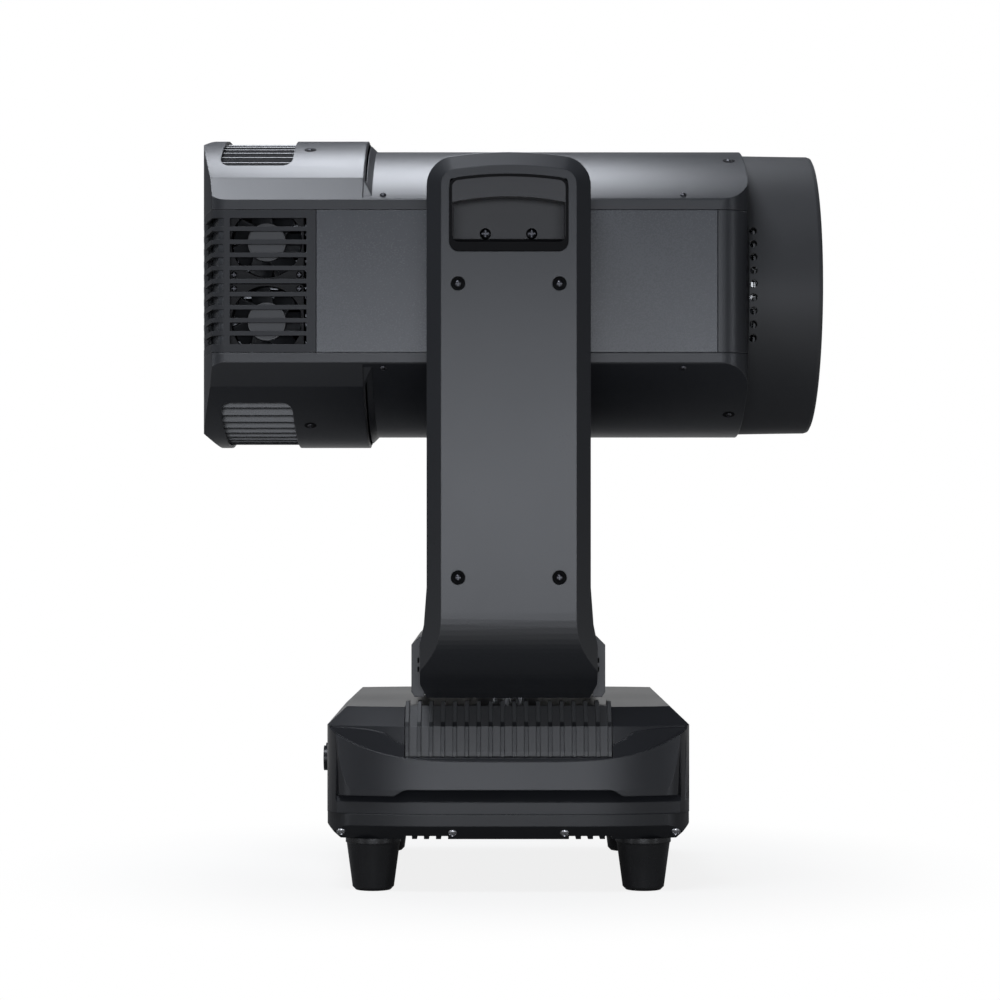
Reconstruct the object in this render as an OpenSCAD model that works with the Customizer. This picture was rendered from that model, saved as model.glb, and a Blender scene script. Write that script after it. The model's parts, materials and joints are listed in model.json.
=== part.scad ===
// Moving head light: a finned base, a yoke that pans on it and a head that tilts between the arms.
// The origin is on the floor under the pan axis. The beam leaves along +X and the arms stand at -Y and +Y.

/* [Base] */
// Height of a foot
foot_h = 50; // [30:1:70]
// Diameter of a foot where it meets the pan
foot_top_d = 52; // [44:1:54]
// Diameter of a foot on the floor
foot_bottom_d = 39; // [30:1:42]
// Distance between the feet along X
foot_span_x = 254; // [220:1:256]
// Distance between the feet along Y
foot_span_y = 330; // [280:1:340]
// Width of the base along X
base_w = 340; // [330:1:360]
// Depth of the base along Y
base_d = 424; // [416:1:440]
// Corner radius of the base in plan
base_corner_r = 24; // [14:1:30]
// Height of the bottom pan
pan_h = 24; // [20:1:32]
// Chamfer round the lower edge of the pan
pan_chamfer = 13; // [10:1:16]
// Height of the base cover
cover_h = 98; // [92:1:110]
// Width of the cover's top face along X
top_w = 304; // [290:1:320]
// Depth of the cover's top face along Y
top_d = 358; // [346:1:370]
// Wall of the base cover and of the pan
base_wall = 3; // [2:0.5:4]

/* [Base heat sinks] */
// Number of fins on each heat sink
fin_count = 18; // [12:1:20]
// Distance from one fin to the next
fin_pitch = 11.1; // [9:0.1:12]
// Thickness of a fin
fin_t = 3.6; // [2:0.1:6]
// Height of the fins above the cover's top face
fin_rise = 5; // [2:0.5:6]
// Depth of the grooves between the fins
fin_groove = 4; // [3:0.5:8]
// Depth of a heat sink
sink_depth = 45; // [40:1:52]

/* [Panels and menu] */
// Length of the connector and display panels along Y
panel_len = 230; // [200:1:260]
// Height of the panels
panel_h = 56; // [50:1:60]
// Thickness of the panels
panel_t = 4; // [3:0.5:6]
// Diameter of a menu button
button_d = 11; // [8:0.5:14]
// Distance between menu buttons
button_pitch = 20; // [16:1:24]
// Travel of a menu button
button_travel = 0.8; // [0.4:0.1:1.2]
// Side clearance round a button
button_gap = 0.3; // [0.2:0.05:0.6]

/* [Yoke] */
// Gap between the base cover and the yoke
pan_gap = 9; // [8:0.5:14]
// Outer radius of the hollow pan spindle
spindle_r = 30; // [24:1:34]
// Bore radius of the hollow pan spindle
spindle_bore_r = 20; // [12:1:20]
// Radius of the fixed pan pulley
pan_pulley_r = 50; // [44:1:56]
// Width of the yoke along X
yoke_w = 182; // [172:1:190]
// Height of the yoke's cross-member
yoke_h = 57; // [48:1:58]
// Width of an arm along X
arm_w = 151; // [146:1:170]
// Width of an arm's flat outer face
arm_face_w = 124; // [118:1:130]
// Width of an arm's foot, where it flares
arm_foot_w = 164; // [152:1:170]
// Thickness of an arm
arm_t = 68; // [64:1:74]
// Height of an arm above the tilt axis
arm_rise = 113; // [108:1:124]
// Distance from the tilt axis down to the tilt motor
tilt_drive = 191; // [170:1:200]
// Radius of the bend under an arm
arm_bend_r = 100; // [90:1:106]
// Wall of the arm covers and the yoke cover
arm_wall = 3; // [2:0.5:4]
// Thickness of the steel plate in an arm
arm_plate_t = 6; // [4:0.5:7]
// Width of the hand recess
grip_w = 109; // [90:1:112]
// Height of the hand recess
grip_h = 71; // [60:1:74]
// Depth of the hand recess
grip_depth = 39; // [34:1:40]

/* [Head] */
// Height of the tilt axis
tilt_h = 572; // [565:1:600]
// Half the width of the head
head_half_w = 165; // [163:1:172]
// Half the height of the front part of the head
tube_half_h = 141.5; // [140:0.5:146]
// Half the height of the rear part of the head
rear_half_h = 152; // [150:0.5:156]
// Radius of the crown over the top and bottom of the head
crown_r = 244; // [236:1:260]
// Distance from the tilt axis to the back of the head
head_rear = 300; // [296:1:306]
// Distance from the tilt axis to the front wall of the head
head_front = 228; // [222:1:236]
// Length of the hood
hood_len = 72; // [60:1:90]
// Outer radius of the hood
hood_r = 138.5; // [136:0.5:139.5]
// Wall of the head covers and panels
head_wall = 3; // [2:0.5:4]
// Half the height of the side panels
panel_half_h = 67; // [64:1:68]
// Gap between the head and an arm
tilt_gap = 7; // [6:0.5:12]
// Outer radius of a trunnion
trunnion_r = 20; // [16:0.5:22]
// Radius of the tilt pulley
tilt_pulley_r = 45; // [38:1:50]

/* [Fans] */
// Side of a square fan
fan_size = 70; // [64:1:72]
// Thickness of a fan
fan_t = 25; // [20:1:25]
// Distance between the two fans of a side
fan_pitch = 74.7; // [73:0.1:80]
// Number of blades on a rotor
blade_count = 7; // [5:1:9]
// Number of slots in a fan grille
slot_count = 10; // [6:1:10]
// Distance from one slot to the next
slot_pitch = 12.3; // [11:0.1:13]
// Height of a slot
slot_h = 8; // [6:0.5:9]

/* [Optics] */
// Radius of the front lens
lens_r = 114; // [104:1:118]
// Radius of the colour and gobo wheels
wheel_r = 72; // [64:1:74]
// Travel of the zoom carriage to each side
zoom_travel = 60; // [30:1:70]

/* [Clearances] */
// Gap between flat pieces that move past each other
slide_gap = 0.3; // [0.2:0.05:0.6]
// Radial running clearance of a shaft
shaft_gap = 0.05; // [0.02:0.01:0.1]
// Gap along the seams between covers
seam_gap = 0.4; // [0.2:0.1:0.8]

/* [Hidden] */
$fn = 96;
fan_names = ["near_upper", "near_lower", "far_upper", "far_lower"];
button_names = ["mode", "up", "down", "enter"];
eps = 0.01;

// Levels of the base, from the floor up
cover_z = foot_h + pan_h;
top_z = cover_z + cover_h;
crease_z = cover_z + 23;
corner_crease_z = cover_z + 17;
crease_half = 94;
bulge = 4.5;
core_y = base_d/2 - bulge;
pan_y = base_d/2 - 4;
chamfer_z = top_z - 17;
shoulder_y = base_d/2 - 6;
smile_z = top_z - 49;
smile_y = base_d/2 - 3.5;
smile_rise = 34;
slope_low_z = top_z - 41;
slope_out_y = base_d/2 - 11;
slope_in_y = base_d/2 - 15;
slope_edge = [[0, 0], [35, 0.5], [69, 2.5], [97, 7], [107, 11.5], [116, 18], [131, 21], [base_w/2 - 14, 22.5]];
lip_t = 1.5;
sky_z = top_z + 50;
sink_w = (fin_count - 1)*fin_pitch + fin_t;
sink_back_y = slope_in_y - sink_depth;
sink_foot = 4;
sink_rim = 6;
panel_z = cover_z + 43;
panel_corner_r = 5;
button_y = -panel_len/2 + 110;
socket_span_x = 106;
socket_span_y = 190;
socket_r = 17;
socket_bore_r = 8;
socket_h = 10;

// Levels of the yoke
yoke_z = top_z + pan_gap;
yoke_top = yoke_z + yoke_h;
yoke_plate_z = yoke_z + 1;
yoke_plate_t = 8;
plate_hole_y = 105;
plate_hole_r = 26;
bearing_h = 14;
pan_bearing_r = spindle_r + 12;
pulley_w = 10;
pan_pulley_z = yoke_plate_z + bearing_h + 12;
spindle_top = pan_pulley_z + pulley_w + 5;
belt_t = 2;

// Places in an arm, all measured out from the pan axis
arm_in = head_half_w + tilt_gap;
arm_out = arm_in + arm_t;
arm_top = tilt_h + arm_rise;
plate_in = arm_in + arm_wall + 1;
plate_out = plate_in + arm_plate_t;
bend_z = yoke_z + 89;
flare_z = yoke_top + 47;
arm_bevel = (arm_w - arm_face_w)/2;
arm_corner_r = 23;
grip_top = arm_top - 21.5;
grip_bottom = grip_top - grip_h;
grip_floor = arm_out - grip_depth;
grip_wall = 3;
bar_h = 29;
bar_t = 17;
face_screw_x = 46.4;
face_screw_z = [tilt_h - 9, bend_z + 24];

// Drives
tilt_bearing_r = trunnion_r + 11;
pulley_in = plate_out + 3.5;
motor_pulley_r = 9;
tilt_motor_z = tilt_h - tilt_drive;
tilt_motor_size = 56;
tilt_motor_len = 36;
motor_in = pulley_in + pulley_w + 2;
pan_motor_size = 35;
pan_motor_len = 36;
pan_motor_y = plate_out + pan_motor_size/2 + 1;
pan_motor_z = pan_pulley_z + pulley_w + 5;
motor_shaft_r = 2.5;
shelf_t = 2.5;

// Places in the head, measured from the tilt axis
rear_step = 137;
step_len = 10;
panel_front = 197;
grille_front = -181;
grille_back_y = 100;
rear_corner_r = 33;
front_corner_r = 27;
rear_bow_r = 650;
chassis_y = head_half_w - 15;
chassis_t = 4;
fan_x = -228;
fan_out = head_half_w - 7;
fan_in = fan_out - fan_t;
fan_bore = fan_size/2 - 1.5;
hub_r = 18;
pin_r = 2;
engine_x = -176;
module_x = -120;
front_bulkhead = 186;
rod_r = 5;
rod_y = 95;
rod_z = 62;
wheel_z = 62;
wheel_pin_r = 4;
colour_x = -112;
gobo_x = -104;
wheel_t = 2;
zoom_rear = -30;
zoom_x = zoom_rear + zoom_travel;
hood_wall = 4;
hood_flange = 4;
lens_edge = 4;
lens_crown = 20;
vent_x = [-275, -206];
vent_reach = 39;
vent_drop = head_wall + seam_gap;

charcoal = [0.22, 0.23, 0.25];
panel_grey = [0.34, 0.36, 0.38];
black = [0.06, 0.06, 0.07];
steel = [0.62, 0.63, 0.65];
alloy = [0.45, 0.46, 0.48];

// Extrusions along each axis: a profile for X is drawn as (Y, Z), one for Y as (X, Z)
module along_x(x0, x1) { translate([x0, 0, 0]) rotate([90, 0, 90]) linear_extrude(height=x1 - x0) children(); }
module along_y(y0, y1) { translate([0, y1, 0]) rotate([90, 0, 0]) linear_extrude(height=y1 - y0) children(); }
module along_z(z0, z1) { translate([0, 0, z0]) linear_extrude(height=z1 - z0) children(); }
module rod_along_x(x0, x1, r, y=0, z=0) { translate([x0, y, z]) rotate([0, 90, 0]) cylinder(h=x1 - x0, r=r); }
module rod_along_y(y0, y1, r, x=0, z=0) { translate([x, y0, z]) rotate([-90, 0, 0]) cylinder(h=y1 - y0, r=r); }
module near_side() { mirror([0, 1, 0]) children(); }
module both_sides() {
    children();
    near_side() children();
}
module block(x0, x1, y0, y1, z0, z1) { translate([x0, y0, z0]) cube([x1 - x0, y1 - y0, z1 - z0]); }

// Rectangle with round corners, made of squares and true circles
module round_rect(x0, x1, y0, y1, r) {
    translate([x0 + r, y0]) square([x1 - x0 - 2*r, y1 - y0]);
    translate([x0, y0 + r]) square([x1 - x0, y1 - y0 - 2*r]);
    for (x = [x0 + r, x1 - r], y = [y0 + r, y1 - r]) translate([x, y]) circle(r);
}

// Outline of a belt's run round two pulleys, the second one lying at a distance along -Y
module belt_run(r1, r2, distance) {
    hull() {
        circle(r1);
        translate([0, -distance]) circle(r2);
    }
}
module belt(r1, r2, distance) {
    difference() {
        belt_run(r1 + belt_t, r2 + belt_t, distance);
        belt_run(r1, r2, distance);
    }
}

// A dome-headed screw that stands on a face and points along +Z
module dome_screw(d, shank=4) {
    rotate_extrude() intersection() {
        translate([0, -d*0.28]) circle(d*0.6);
        square([d/2, d]);
    }
    translate([0, 0, -shank]) cylinder(h=shank + eps, d=d*0.5);
}

module screw_hole(d) { translate([0, 0, -10]) cylinder(h=20, d=d*0.5 + 0.1); }

// Base
module base_plan(t) { round_rect(-base_w/2 + t, base_w/2 - t, -base_d/2 + t, base_d/2 - t, base_corner_r - t); }
module base_side(t) {
    w = base_w/2 - t;
    n = top_w/2 - t/2;
    polygon([[-w, cover_z], [w, cover_z], [w, chamfer_z], [n, top_z - t], [-n, top_z - t], [-w, chamfer_z]]);
}
// A flat shape from its half at +X, closed by the same points at -X
module mirrored(half) { polygon(concat(half, [for (i = [len(half) - 1:-1:0]) [-half[i][0], half[i][1]]])); }
module base_end(t) {
    d = base_d/2 - t;
    mirrored([[d, cover_z], [d, crease_z], [shoulder_y - t, chamfer_z], [top_d/2 - t/2, top_z - t]]);
}
// What is cut away under the bulge: the lower band stands back, with its upper edge stepped near the corners
module under_bulge(t) {
    along_y(core_y - t, base_d)
        mirrored([[base_w, cover_z - 1], [base_w, corner_crease_z], [crease_half + 12, corner_crease_z],
                  [crease_half + 4, crease_z - 1], [crease_half, crease_z], [0, crease_z]]);
}
// The scoop at each end of the base: a wide smile with a steep lip, then a sloped floor
module smile(t) {
    steps = 12;
    reach = base_w/2 + 4;
    mirrored(concat([for (i = [0:steps]) [reach*i/steps, smile_z - t + smile_rise*pow(i/steps, 4)]],
                    [[base_w, sky_z], [0, sky_z]]));
}
module scoop(t) {
    lip_in = slope_in_y + lip_t - t;
    start = sink_back_y - 40;
    deep = smile_z - t - 20;
    intersection() {
        along_y(start, base_d) smile(t);
        along_x(-base_w, base_w)
            polygon([[smile_y - t, deep], [smile_y - t, smile_z - t], [lip_in, chamfer_z], [lip_in, sky_z],
                     [base_d, sky_z], [base_d, deep]]);
    }
    intersection() {
        along_y(start, base_d)
            mirrored(concat([for (p = slope_edge) [p[0], slope_low_z + p[1] - t]],
                            [[base_w/2 - 4, chamfer_z - 2], [base_w/2 - 4, chamfer_z], [0, chamfer_z]]));
        along_x(-base_w, base_w)
            polygon([[slope_out_y - t, slope_low_z - t], [slope_in_y - t, chamfer_z], [slope_in_y - t, sky_z],
                     [base_d, sky_z], [base_d, slope_low_z - t]]);
    }
    along_x(-base_w, base_w)
        polygon([[slope_in_y - t, chamfer_z - eps], [top_d/2 - t/2, top_z - t], [top_d/2 - t/2, sky_z],
                 [base_d, sky_z], [base_d, chamfer_z - eps]]);
}
module base_form(t) {
    difference() {
        intersection() {
            along_z(cover_z - eps, top_z + eps) base_plan(t);
            along_y(-base_d, base_d) base_side(t);
            along_x(-base_w, base_w) base_end(t);
        }
        both_sides() {
            scoop(t);
            under_bulge(t);
        }
    }
}
module panel_window(gap) {
    along_x(-base_w, base_w) translate([0, panel_z])
        round_rect(-panel_len/2 - gap, panel_len/2 + gap, -panel_h/2 - gap, panel_h/2 + gap,
                   panel_corner_r + gap);
}
module base_cover() {
    color(charcoal) difference() {
        base_form(0);
        difference() {
            base_form(base_wall);
            both_sides() block(-sink_w/2 - sink_rim, sink_w/2 + sink_rim, sink_back_y - sink_rim, base_d,
                               slope_low_z - 2*sink_foot, top_z);
        }
        block(-base_w/2 + base_wall + 6, base_w/2 - base_wall - 6, -base_d/2 + base_wall + 8,
              base_d/2 - base_wall - 8, cover_z - 1, cover_z + base_wall);
        both_sides() block(-sink_w/2 - seam_gap, sink_w/2 + seam_gap, sink_back_y - seam_gap, base_d,
                           slope_low_z - sink_foot - seam_gap, top_z + 1);
        panel_window(seam_gap);
        translate([0, 0, top_z - 20]) cylinder(h=30, r=spindle_r + 2);
    }
}
module sink_profile(t) {
    low = slope_low_z - sink_foot;
    high = top_z + fin_rise - t;
    crest_y = slope_in_y - (high - chamfer_z)*(slope_in_y - top_d/2)/(top_z - chamfer_z);
    polygon([[sink_back_y, low], [slope_out_y - t, low], [slope_out_y - t, slope_low_z],
             [slope_in_y - t, chamfer_z], [crest_y - t, high], [sink_back_y, high]]);
}
module base_heat_sinks() {
    color(alloy) both_sides() {
        for (i = [0:fin_count - 1])
            along_x(-sink_w/2 + i*fin_pitch, -sink_w/2 + i*fin_pitch + fin_t) sink_profile(0);
        along_x(-sink_w/2, sink_w/2) sink_profile(fin_groove);
    }
}
module pan_side(half, t) {
    mirrored([[half - pan_chamfer, foot_h + t], [half - t, foot_h + pan_chamfer], [half - t, cover_z + t]]);
}
module pan_form(t) {
    intersection() {
        along_z(foot_h, cover_z + t)
            round_rect(-base_w/2 + t, base_w/2 - t, -pan_y + t, pan_y - t, base_corner_r - t);
        along_y(-base_d, base_d) pan_side(base_w/2, t);
        along_x(-base_w, base_w) pan_side(pan_y, t);
    }
}
pan_vents = [for (s = [-1, 1], i = [0:3]) s*(59.5 + i*11.2)];
pan_vent_w = 6.5;
pan_vent_len = 50;
pan_screw_d = 9;
pan_screw_pitch = (base_w - 28)/3;
module pan_screw_places() {
    both_sides() for (i = [-1.5:1:1.5])
        translate([i*pan_screw_pitch, pan_y - pan_chamfer/2, foot_h + pan_chamfer/2])
            rotate([-135, 0, 0]) children();
}
module bottom_pan() {
    color(black) difference() {
        pan_form(0);
        pan_form(base_wall);
        for (x = pan_vents) both_sides()
            block(x - pan_vent_w/2, x + pan_vent_w/2, pan_y - pan_chamfer - pan_vent_len, base_d,
                  foot_h - 1, foot_h + base_wall + 0.2);
        for (x = [-1, 1]*socket_span_x/2, y = [-1, 1]*socket_span_y/2)
            translate([x, y, foot_h - 1]) cylinder(h=base_wall + 2, r=socket_bore_r + 1);
        pan_screw_places() screw_hole(pan_screw_d);
    }
}
module bracket_sockets() {
    color(steel) for (x = [-1, 1]*socket_span_x/2, y = [-1, 1]*socket_span_y/2)
        translate([x, y, foot_h + base_wall]) difference() {
            cylinder(h=socket_h, r=socket_r);
            translate([0, 0, -1]) cylinder(h=socket_h - 1, r=socket_bore_r);
        }
}
module foot() {
    rotate_extrude() difference() {
        polygon([[0, 0], [foot_bottom_d/2 - 3, 0], [foot_bottom_d/2, 3], [foot_top_d/2 - 1, foot_h - 6],
                 [foot_top_d/2, foot_h - 5], [foot_top_d/2, foot_h], [0, foot_h]]);
        translate([0, -1]) square([5, 13]);
    }
}
module feet() {
    color(black) for (x = [-1, 1]*foot_span_x/2, y = [-1, 1]*foot_span_y/2) translate([x, y, 0]) foot();
}
module base_screws() {
    color(steel) pan_screw_places() dome_screw(pan_screw_d, 3);
}

// Panels in the two ends of the base along X
power_y = [-85, -48];
data_y = [-8, 26];
network_y = [60, 92];
connector_r = 12;
module panel_plate() {
    along_x(base_w/2 - panel_t, base_w/2) translate([0, panel_z])
        round_rect(-panel_len/2, panel_len/2, -panel_h/2, panel_h/2, panel_corner_r);
}
module connector_panel() {
    color(black) difference() {
        mirror([1, 0, 0]) panel_plate();
        for (y = concat(power_y, data_y))
            rod_along_x(-base_w/2 - 1, -base_w/2 + panel_t + 1, connector_r + 0.2, y, panel_z);
        for (y = network_y)
            block(-base_w/2 - 1, -base_w/2 + panel_t + 1, y - 10.2, y + 10.2, panel_z - 10.2, panel_z + 10.2);
    }
}
module connector_flange(y) {
    x = -base_w/2;
    along_x(x - 2, x) translate([y, panel_z]) round_rect(-13, 13, -15.5, 15.5, 3);
}
module power_connectors() {
    x = -base_w/2;
    color(panel_grey) for (y = power_y) difference() {
        union() {
            connector_flange(y);
            rod_along_x(x - 8, x + 22, connector_r, y, panel_z);
        }
        rod_along_x(x - 9, x + 12, connector_r - 3, y, panel_z);
    }
}
module data_connectors() {
    x = -base_w/2;
    color(alloy) {
        for (y = data_y) difference() {
            union() {
                connector_flange(y);
                rod_along_x(x - 2, x + 20, connector_r, y, panel_z);
            }
            rod_along_x(x - 3, x + 12, connector_r - 3, y, panel_z);
        }
        for (y = network_y) difference() {
            union() {
                connector_flange(y);
                block(x - 2, x + 20, y - 10, y + 10, panel_z - 10, panel_z + 10);
            }
            block(x - 3, x + 14, y - 8, y + 8, panel_z - 7, panel_z + 7);
        }
    }
}
screen_y = [-92, -24];
screen_half_h = 20;
screen_t = 2;
function button_place(i) = button_y + i*button_pitch;
module display_panel() {
    x = base_w/2;
    color(black) difference() {
        panel_plate();
        block(x - screen_t, x + 1, screen_y[0] - 0.2, screen_y[1] + 0.2,
              panel_z - screen_half_h - 0.2, panel_z + screen_half_h + 0.2);
        for (i = [0:len(button_names) - 1])
            rod_along_x(x - panel_t - 1, x + 1, button_d/2 + button_gap, button_place(i), panel_z);
    }
}
module display_screen() {
    color([0.1, 0.14, 0.2])
        block(base_w/2 - screen_t, base_w/2 - 0.4, screen_y[0], screen_y[1],
              panel_z - screen_half_h, panel_z + screen_half_h);
}
button_back = base_w/2 - panel_t - slide_gap;
flange_t = 2;
module menu_button(i) {
    color(panel_grey) {
        rod_along_x(button_back - flange_t, base_w/2 + 3, button_d/2, button_place(i), panel_z);
        rod_along_x(button_back - flange_t, button_back, button_d/2 + 2, button_place(i), panel_z);
    }
}
board_x = base_w/2 - panel_t - 24;
board_half = panel_len/2 - 15;
board_half_h = panel_h/2 - 4;
module control_board() {
    color([0.1, 0.3, 0.18]) {
        block(board_x - 2, board_x, -board_half, board_half, panel_z - board_half_h, panel_z + board_half_h);
        for (y = [-1, 1]*(board_half - 6), z = [-1, 1]*(board_half_h - 6))
            rod_along_x(board_x - eps, base_w/2 - panel_t, 3, y, panel_z + z);
        switch_x = button_back - flange_t - button_travel - 0.15;
        for (i = [0:len(button_names) - 1]) rod_along_x(board_x - eps, switch_x, 3, button_place(i), panel_z);
    }
}
floor_z = foot_h + base_wall;
// The power supply stands behind the connectors, with room kept for their backs
socket_room = 28;
supply_w = 64;
supply_half = 110;
supply_h = 58;
supply_x = -base_w/2 + socket_room;
supply_slot_pitch = 20;
module power_supply() {
    color(steel) difference() {
        block(supply_x, supply_x + supply_w, -supply_half, supply_half, floor_z, floor_z + supply_h);
        for (i = [-4:4]) translate([0, i*supply_slot_pitch, 0])
            block(supply_x - 1, supply_x + 2, -supply_slot_pitch*0.3, supply_slot_pitch*0.3,
                  floor_z + 12, floor_z + supply_h - 12);
    }
}

// Pan spindle, fixed to the pan floor, with the pulley that the pan belt runs round
flange_r = 60;
pulley_flange = 3;
pulley_rim = 1.2;
module pulley_profile(r, bore) {
    translate([bore, 0]) square([r - bore, pulley_w]);
    for (z = [0, pulley_w - pulley_rim]) translate([bore, z]) square([r + pulley_flange - bore, pulley_rim]);
}
module pan_spindle() {
    color(steel) rotate_extrude() {
        translate([spindle_bore_r, floor_z]) square([spindle_r - spindle_bore_r, spindle_top - floor_z]);
        translate([spindle_bore_r, floor_z]) square([flange_r - spindle_bore_r, 6]);
        translate([0, pan_pulley_z]) pulley_profile(pan_pulley_r, spindle_bore_r);
    }
}

// Yoke
yoke_edge = 8;
module yoke_profile(t) {
    w = yoke_w/2 - t;
    mirrored([[w - 3, yoke_z], [w, yoke_z + 5], [w, yoke_top - yoke_edge], [w - yoke_edge, yoke_top - t]]);
}
yoke_mouth = arm_foot_w/2 - 6;
module yoke_cover() {
    end = arm_in - seam_gap;
    color(charcoal) difference() {
        along_y(-end, end) yoke_profile(0);
        translate([0, 0, -eps]) along_y(-end + arm_wall, end - arm_wall) yoke_profile(arm_wall);
        block(-yoke_mouth, yoke_mouth, -end - 1, end + 1, yoke_z - 1, yoke_top - arm_wall - 1);
        block(-yoke_w/2 + 12, yoke_w/2 - 12, -end - 1, end + 1, yoke_z - 1, yoke_z + 3);
    }
}
yoke_plate_end = plate_in + 2;
module yoke_plate() {
    z1 = yoke_plate_z + yoke_plate_t;
    color(steel) difference() {
        union() {
            along_z(yoke_plate_z, z1) {
                square([yoke_w - 24, 2*arm_in - 30], center=true);
                square([2*yoke_mouth - 4, 2*yoke_plate_end], center=true);
            }
            translate([0, 0, z1 - eps]) cylinder(h=bearing_h - yoke_plate_t, r=pan_bearing_r + 8);
        }
        translate([0, 0, yoke_z - 1]) cylinder(h=bearing_h + 4, r=pan_bearing_r);
        for (s = [-1, 1]) translate([0, s*plate_hole_y, yoke_z - 1]) cylinder(h=20, r=plate_hole_r);
    }
}
module ring_bearing(inner, outer, width) {
    rotate_extrude() difference() {
        translate([inner + shaft_gap, 0]) square([outer - inner - shaft_gap - 0.02, width]);
        ring = outer - inner;
        for (z = [-1, width - 1]) translate([inner + ring*0.35, z]) square([ring*0.3, 2]);
    }
}
tilt_bearing_w = arm_plate_t + 2;
module bearings() {
    color(steel) {
        translate([0, 0, yoke_plate_z]) ring_bearing(spindle_r, pan_bearing_r, bearing_h);
        both_sides() translate([0, plate_in, tilt_h]) rotate([-90, 0, 0])
            ring_bearing(trunnion_r, tilt_bearing_r, tilt_bearing_w);
    }
}
belt_inset = pulley_rim + 0.4;
module pan_belt() {
    color(black) along_z(pan_pulley_z + belt_inset, pan_pulley_z + pulley_w - belt_inset)
        rotate(180) belt(pan_pulley_r + slide_gap, motor_pulley_r + slide_gap, pan_motor_y);
}
module tilt_belt() {
    color(black) near_side() along_y(pulley_in + belt_inset, pulley_in + pulley_w - belt_inset)
        translate([0, tilt_h]) belt(tilt_pulley_r + slide_gap, motor_pulley_r + slide_gap, tilt_drive);
}
module motor_pulley() {
    rotate_extrude() pulley_profile(motor_pulley_r, motor_shaft_r + shaft_gap);
}
module motor(size, length, shaft) {
    along_z(0, length) round_rect(-size/2, size/2, -size/2, size/2, 4);
    translate([0, 0, -shaft]) cylinder(h=shaft + eps, r=motor_shaft_r);
    translate([0, 0, -1.5]) cylinder(h=1.5 + eps, r=size*0.28);
}
module pan_motor() {
    color(black) translate([0, pan_motor_y, pan_motor_z])
        motor(pan_motor_size, pan_motor_len, pan_motor_z - pan_pulley_z);
}
module pan_motor_pulley() {
    color(alloy) translate([0, pan_motor_y, pan_pulley_z]) motor_pulley();
}
module tilt_motor() {
    color(black) near_side() translate([0, motor_in, tilt_motor_z]) rotate([-90, 0, 0])
        motor(tilt_motor_size, tilt_motor_len, motor_in - pulley_in);
}
module tilt_motor_pulley() {
    color(alloy) near_side() translate([0, pulley_in, tilt_motor_z]) rotate([-90, 0, 0]) motor_pulley();
}

// Steel plates that stand in the arms and carry the tilt bearings
arm_plate_half = 58;
plate_foot_z = yoke_plate_z + yoke_plate_t;
module arm_plate() {
    difference() {
        union() {
            along_y(plate_in, plate_out)
                round_rect(-arm_plate_half, arm_plate_half, plate_foot_z, tilt_h + tilt_bearing_r + 18, 20);
            block(-arm_plate_half, arm_plate_half, plate_in - 26, plate_out, plate_foot_z, plate_foot_z + 6);
        }
        rod_along_y(plate_in - 1, plate_out + 1, tilt_bearing_r, 0, tilt_h);
        along_y(plate_in - 1, plate_out + 1)
            round_rect(-32, 32, tilt_motor_z + 60, tilt_h - tilt_bearing_r - 24, 20);
        along_y(plate_in - 1, plate_out + 1)
            round_rect(-32, 32, pan_motor_z + 20, tilt_motor_z - 60, 18);
    }
}
module arm_plate_near() {
    color(steel) near_side() {
        arm_plate();
        for (x = [-1, 1]*(tilt_motor_size/2 - 5), z = [-1, 1]*(tilt_motor_size/2 - 5))
            rod_along_y(plate_out - eps, motor_in, 4, x, tilt_motor_z + z);
    }
}
module arm_plate_far() {
    color(steel) difference() {
        union() {
            arm_plate();
            block(-pan_motor_size/2, pan_motor_size/2, plate_out - eps, pan_motor_y + pan_motor_size/2,
                  pan_motor_z - shelf_t, pan_motor_z);
        }
        block(-30, 30, plate_in - 1, plate_out + 1, pan_pulley_z - 3, pan_motor_z - shelf_t);
        translate([0, pan_motor_y, pan_motor_z - 10]) cylinder(h=20, r=pan_motor_size*0.28 + 0.5);
    }
}

// Arm covers: an outline, a plan with bevels and a side profile with the bend under the arm
arch_r = 900;
module arm_outline(t) {
    w = arm_w/2 - t;
    f = arm_foot_w/2 - t;
    intersection() {
        union() {
            round_rect(-w, w, flare_z - 60, arm_top - t, arm_corner_r - t);
            mirrored([[w, flare_z], [w + (f - w)*0.4, flare_z - 24], [f, flare_z - 44], [f, yoke_z + 14],
                      [f - 6, yoke_z + t]]);
        }
        translate([0, arm_top - t - arch_r]) circle(arch_r - t, $fn=360);
    }
}
module arm_plan(t) {
    wide = arm_foot_w;
    face = arm_face_w/2 - t*0.4;
    polygon([[-wide, 0], [wide, 0], [wide, arm_out - t - (wide - face)], [face, arm_out - t],
             [-face, arm_out - t], [-wide, arm_out - t - (wide - face)]]);
}
module arm_side(t) {
    inner = t > 0 ? arm_in - 1 : arm_in;
    out = arm_out - t;
    polygon([[inner, bend_z], [inner, arm_top], [out - arm_bevel, arm_top], [out, arm_top - arm_bevel],
             [out, bend_z]]);
    intersection() {
        translate([arm_out - arm_bend_r, bend_z]) circle(arm_bend_r - t);
        translate([inner, yoke_z]) square([arm_t + 2, bend_z - yoke_z + eps]);
    }
}
module arm_form(t) {
    intersection() {
        along_y(arm_in - 2, arm_out + 1) arm_outline(t);
        along_z(yoke_z - 1, arm_top + 1) arm_plan(t);
        along_x(-arm_foot_w, arm_foot_w) arm_side(t);
    }
}
grip_corner_r = 9;
grip_arch_r = 330;
module grip_outline(t) {
    intersection() {
        round_rect(-grip_w/2 + t, grip_w/2 - t, grip_bottom + t, grip_top - t, grip_corner_r);
        translate([0, grip_top - t - grip_arch_r]) circle(grip_arch_r, $fn=240);
    }
}
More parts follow.
